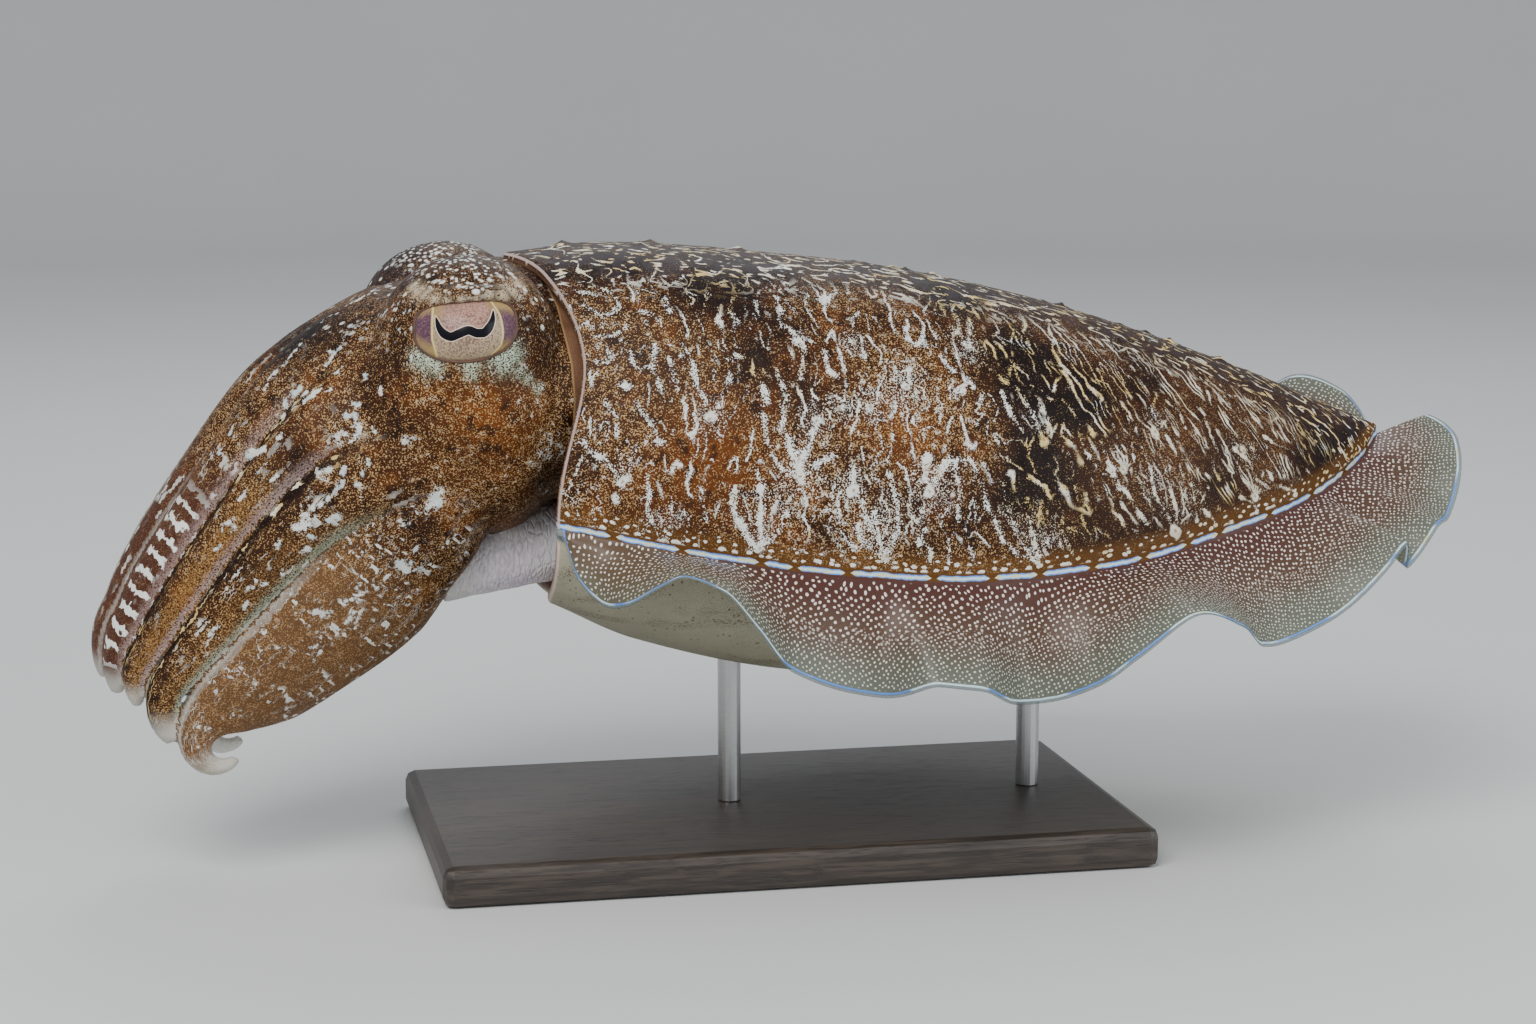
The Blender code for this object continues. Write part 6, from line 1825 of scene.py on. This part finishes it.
class CuttlefishColours(bpy.types.PropertyGroup):
    """Colours of the skin, eyes, flesh, stand and floor."""

    dark_brown: colour_of("Dark brown", "Darkest brown of the mottled skin", (0.008, 0.004, 0.004))
    mid_brown: colour_of("Mid brown", "Main brown of the skin", (0.042, 0.014, 0.005))
    orange_brown: colour_of("Orange brown", "Warm patches of the flank and cheek", (0.15, 0.040, 0.004))
    beige: colour_of("Beige", "Fine grain over the brown", (0.46, 0.285, 0.125))
    pale_blue: colour_of("Pale blue", "Bluish blots of the head and arms", (0.62, 0.70, 0.70))
    white: colour_of("White", "Streaks, fans and stars", (0.84, 0.85, 0.80))
    cream: colour_of("Cream", "Spots above the fin line and streaks of the back", (0.70, 0.52, 0.22))
    gold: colour_of("Gold", "Centres of the stars", (0.26, 0.15, 0.04))
    # Painted sheen, not a colour of the skin: violet grey laid over the back and the head's top
    back_sheen: colour_of("Back sheen", "Painted violet grey sheen of the back and the head's top", (0.026, 0.018, 0.024))
    band_brown: colour_of("Band brown", "Plain brown band beside the fin line", (0.11, 0.046, 0.010))
    line_blue: colour_of("Line blue", "Edges of the fin line's dashes", (0.10, 0.27, 0.70))
    line_white: colour_of("Line white", "Middle of the fin line's dashes", (0.60, 0.80, 0.90))
    line_yellow: colour_of("Line yellow", "Yellow parts of the fin line", (0.72, 0.72, 0.40))
    belly: colour_of("Belly", "Pale belly", (0.38, 0.37, 0.28))
    belly_shade: colour_of("Belly shade", "Darker clouds of the belly", (0.30, 0.28, 0.20))
    belly_speck: colour_of("Belly speck", "Specks of the belly", (0.09, 0.045, 0.025))
    lining: colour_of("Lining", "Inside of the mantle's front edge", (0.26, 0.14, 0.075))
    lining_deep: colour_of("Deep lining", "Inside of the mantle, deeper in", (0.10, 0.045, 0.028))
    lip: colour_of("Lip", "Thin pale line round the free edge", (0.60, 0.45, 0.42))
    fin_root: colour_of("Fin root", "Fin near the body", (0.070, 0.028, 0.022))
    fin_middle: colour_of("Fin middle", "Middle of the fin", (0.085, 0.048, 0.032))
    fin_outer: colour_of("Fin outer", "Fin near its rim", (0.115, 0.125, 0.10))
    fin_front: colour_of("Fin front", "Front part of the fin", (0.13, 0.10, 0.06))
    fin_dot: colour_of("Fin dot", "Dots near the body", (0.84, 0.78, 0.70))
    fin_dot_outer: colour_of("Outer fin dot", "Dots near the rim", (0.68, 0.70, 0.58))
    fringe: colour_of("Fringe", "Clear fringe outside the rim", (0.30, 0.38, 0.40))
    flare: colour_of("Flare", "Pale flares beside the brow", (0.55, 0.44, 0.30))
    mint: colour_of("Mint", "Greenish patches under the eye and pale arm edges", (0.50, 0.60, 0.45))
    bar_brown: colour_of("Bar brown", "Brown between the bars of the first arms", (0.075, 0.026, 0.016))
    golden: colour_of("Golden", "Golden faces of the second and third arms", (0.36, 0.19, 0.06))
    arm_tan: colour_of("Arm tan", "Ground of the fourth arms", (0.24, 0.125, 0.055))
    lilac: colour_of("Lilac", "Lilac edges of the arms", (0.46, 0.34, 0.32))
    grey_flesh: colour_of("Grey flesh", "Grey end of the far first arm", (0.24, 0.22, 0.17))
    pale_edge: colour_of("Pale edge", "Pale rims and tips of the arms", (0.70, 0.70, 0.64))
    oral: colour_of("Oral", "Inner faces of the arms", (0.62, 0.62, 0.56))
    oral_shade: colour_of("Oral shade", "Shaded flesh of the inner faces", (0.45, 0.43, 0.38))
    sucker: colour_of("Sucker", "Suckers", (0.68, 0.66, 0.58))
    funnel: colour_of("Funnel", "Funnel", (0.90, 0.84, 0.90))
    funnel_shade: colour_of("Funnel shade", "Wrinkles of the funnel", (0.70, 0.63, 0.72))
    eye_flap: colour_of("Eye flap", "Pink flap over the pupil", (0.42, 0.25, 0.19))
    eye_flap_shade: colour_of("Eye flap shade", "Speckles of the flap", (0.17, 0.09, 0.085))
    eye_low: colour_of("Lower eye", "Olive pink part under the pupil", (0.40, 0.31, 0.19))
    eye_low_shade: colour_of("Lower eye shade", "Speckles under the pupil", (0.18, 0.11, 0.09))
    eye_violet: colour_of("Eye violet", "Crescents at both ends of the eye", (0.085, 0.040, 0.070))
    eye_gold: colour_of("Eye gold", "Lower ends of the crescents", (0.36, 0.25, 0.09))
    eye_yellow: colour_of("Eye yellow", "Thin arcs beside the pupil", (0.74, 0.60, 0.24))
    eye_outline: colour_of("Eye outline", "Thin line round the pupil", (0.78, 0.62, 0.50))
    pupil: colour_of("Pupil", "Pupil", (0.004, 0.004, 0.007))
    rim_orange: colour_of("Rim orange", "Skin rim round the eye", (0.11, 0.055, 0.04))
    rim_brown: colour_of("Rim brown", "Darker parts of the eye's rim", (0.075, 0.045, 0.035))
    board: colour_of("Board", "Stand board", (0.060, 0.045, 0.036))
    board_dark: colour_of("Board dark", "Grain of the stand board", (0.024, 0.018, 0.015))
    steel: colour_of("Steel", "Stand rods", (0.60, 0.60, 0.60))
    steel_dark: colour_of("Steel dark", "Brushed lines of the rods", (0.40, 0.40, 0.41))
    floor: colour_of("Floor", "Studio floor", (0.60, 0.61, 0.61))
    floor_light: colour_of("Floor light", "Lighter parts of the floor", (0.64, 0.65, 0.65))


class CuttlefishSizes(bpy.types.PropertyGroup):
    """Sizes of the skin and its smaller forms, in mm."""

    skin_voxel: amount_of("Skin voxel", "Fineness in mm of the skin of head and arms", 1.0, 0.6, 3.0)
    brow_radius: amount_of("Brow", "Radius in mm of the fold over each eye", 2.4, 0.5, 5.0)
    eye_rise: amount_of("Eye dome", "How far each eye stands out of its opening in mm", 1.9, 0.0, 5.0)
    eye_sink: amount_of("Eye bed", "How deep the skin lies under each eye in mm", 2.4, 0.5, 6.0)
    rim_radius: amount_of("Eye rim", "Radius in mm of the skin rim round each eye", 0.4, 0.2, 2.0)
    sucker_scale: amount_of("Suckers", "Scale of the suckers", 1.0, 0.5, 1.5, subtype="FACTOR")


class CuttlefishStudio(bpy.types.PropertyGroup):
    """Floor and light."""

    floor_radius: amount_of("Floor radius", "Radius in mm of the flat floor", 2600.0, 1000.0, 9000.0)
    key_power: amount_of("Key light", "Power of the main light", 24.0, 0.0, subtype="POWER")
    fill_power: amount_of("Fill light", "Power of the side light", 9.0, 0.0, subtype="POWER")
    rim_power: amount_of("Rim light", "Power of the light from behind", 6.0, 0.0, subtype="POWER")
    world_strength: amount_of("Room light", "Strength of the even light", 0.6, 0.0, 4.0)
    world_colour: colour_of("Room colour", "Colour of the even light", (0.93, 0.96, 1.0))


class CUTTLEFISH_OT_body_skin(bpy.types.Operator):
    """Makes the mantle and both fins as one skin"""

    bl_idname = "cuttlefish.body_skin"
    bl_label = "Mantle and fins"

    def execute(self, context):
        colours = context.scene.cuttlefish_colours
        piece = make_body_skin()
        dress(piece, mantle_finish(colours), "skin", "mantle", "fin_left", "fin_right")
        piece.data.materials.append(fin_finish(colours))
        split_finishes(piece)
        return {"FINISHED"}


class CUTTLEFISH_OT_head_skin(bpy.types.Operator):
    """Makes the skin of the head and the eight arms"""

    bl_idname = "cuttlefish.head_skin"
    bl_label = "Head and arms"

    def execute(self, context):
        arms = [
            f"arm_{side}_{pair}_{part}" for side in SIDES for pair in ARM_FILL for part in ("base", "tip")]
        piece = make_head_skin(context.scene.cuttlefish_sizes)
        dress(piece, head_finish(context.scene.cuttlefish_colours), "skin", "head", *arms)
        return {"FINISHED"}


class CUTTLEFISH_OT_suckers(bpy.types.Operator):
    """Makes the suckers on the inner faces of the arms"""

    bl_idname = "cuttlefish.suckers"
    bl_label = "Suckers"

    def execute(self, context):
        piece = make_suckers(context.scene.cuttlefish_sizes)
        dress(piece, sucker_finish(context.scene.cuttlefish_colours), "pale_flesh")
        return {"FINISHED"}


class CUTTLEFISH_OT_eyes(bpy.types.Operator):
    """Makes both eyes with their rims"""

    bl_idname = "cuttlefish.eyes"
    bl_label = "Eyes"

    def execute(self, context):
        finish = eye_finish(context.scene.cuttlefish_colours)
        for side in SIDES:
            dress(make_eye(side, context.scene.cuttlefish_sizes), finish, "eye", f"eye_{side}")
        return {"FINISHED"}


class CUTTLEFISH_OT_funnel(bpy.types.Operator):
    """Makes the funnel under the head"""

    bl_idname = "cuttlefish.funnel"
    bl_label = "Funnel"

    def execute(self, context):
        dress(make_funnel(), funnel_finish(context.scene.cuttlefish_colours), "pale_flesh", "funnel")
        return {"FINISHED"}


class CUTTLEFISH_OT_mouth(bpy.types.Operator):
    """Makes the mouth between the arms, with its beak"""

    bl_idname = "cuttlefish.mouth"
    bl_label = "Mouth and beak"

    def execute(self, context):
        colours = context.scene.cuttlefish_colours
        membrane, beak = make_mouth()
        dress(membrane, mouth_finish(colours), "pale_flesh", "mouth")
        dress(beak, beak_finish(colours), "pale_flesh")
        return {"FINISHED"}


class CUTTLEFISH_OT_stand(bpy.types.Operator):
    """Finishes the board and the rods of the stand"""

    bl_idname = "cuttlefish.stand"
    bl_label = "Stand"

    def execute(self, context):
        colours = context.scene.cuttlefish_colours
        board, steel = board_finish(colours), steel_finish(colours)
        for name, finish in (("stand_base", board), ("stand_rod_1", steel), ("stand_rod_2", steel)):
            slots = bpy.data.objects[name].material_slots
            for slot in slots:
                slot.material = finish
            if not slots:
                bpy.data.objects[name].data.materials.append(finish)
        return {"FINISHED"}


class CUTTLEFISH_OT_stage(bpy.types.Operator):
    """Makes the floor, the lights and the camera"""

    bl_idname = "cuttlefish.stage"
    bl_label = "Studio"

    def execute(self, context):
        settings = context.scene.cuttlefish_studio
        floor = make_stage(settings)
        floor.data.materials.append(floor_finish(context.scene.cuttlefish_colours))
        add_light("key_light", (-650.0, -1000.0, 1250.0), settings.key_power, 0.9, (1.0, 0.98, 0.95))
        add_light("fill_light", (1000.0, -900.0, 500.0), settings.fill_power, 1.0, (0.93, 0.97, 1.0))
        add_light("rim_light", (200.0, 1000.0, 1200.0), settings.rim_power, 0.8, (0.95, 0.98, 1.0))
        add_world(settings)
        add_camera()
        return {"FINISHED"}


class CUTTLEFISH_PT_sidebar(bpy.types.Panel):
    """Colours, sizes and steps of the cuttlefish"""

    bl_idname = "CUTTLEFISH_PT_sidebar"
    bl_label = "Common cuttlefish"
    bl_space_type = "VIEW_3D"
    bl_region_type = "UI"
    bl_category = "Cuttlefish"

    def draw(self, context):
        for step in STEPS:
            self.layout.operator(step.bl_idname)
        for group in (
                context.scene.cuttlefish_sizes, context.scene.cuttlefish_studio,
                context.scene.cuttlefish_colours):
            box = self.layout.box()
            for name in group.__annotations__:
                box.prop(group, name)


STEPS = (
    CUTTLEFISH_OT_body_skin, CUTTLEFISH_OT_head_skin, CUTTLEFISH_OT_suckers, CUTTLEFISH_OT_eyes,
    CUTTLEFISH_OT_funnel, CUTTLEFISH_OT_mouth, CUTTLEFISH_OT_stand, CUTTLEFISH_OT_stage,
)
GROUPS = {
    "cuttlefish_colours": CuttlefishColours, "cuttlefish_sizes": CuttlefishSizes,
    "cuttlefish_studio": CuttlefishStudio,
}


def register():
    for kind in (*GROUPS.values(), *STEPS, CUTTLEFISH_PT_sidebar):
        bpy.utils.register_class(kind)
    for name, kind in GROUPS.items():
        setattr(bpy.types.Scene, name, bpy.props.PointerProperty(type=kind))


def unregister():
    for name in GROUPS:
        delattr(bpy.types.Scene, name)
    for kind in (CUTTLEFISH_PT_sidebar, *reversed(STEPS), *reversed(tuple(GROUPS.values()))):
        bpy.utils.unregister_class(kind)


def main():
    register()
    bpy.ops.cuttlefish.body_skin()
    bpy.ops.cuttlefish.head_skin()
    bpy.ops.cuttlefish.suckers()
    bpy.ops.cuttlefish.eyes()
    bpy.ops.cuttlefish.funnel()
    bpy.ops.cuttlefish.mouth()
    bpy.ops.cuttlefish.stand()
    bpy.ops.cuttlefish.stage()
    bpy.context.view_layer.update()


if __name__ == "__main__":
    main()
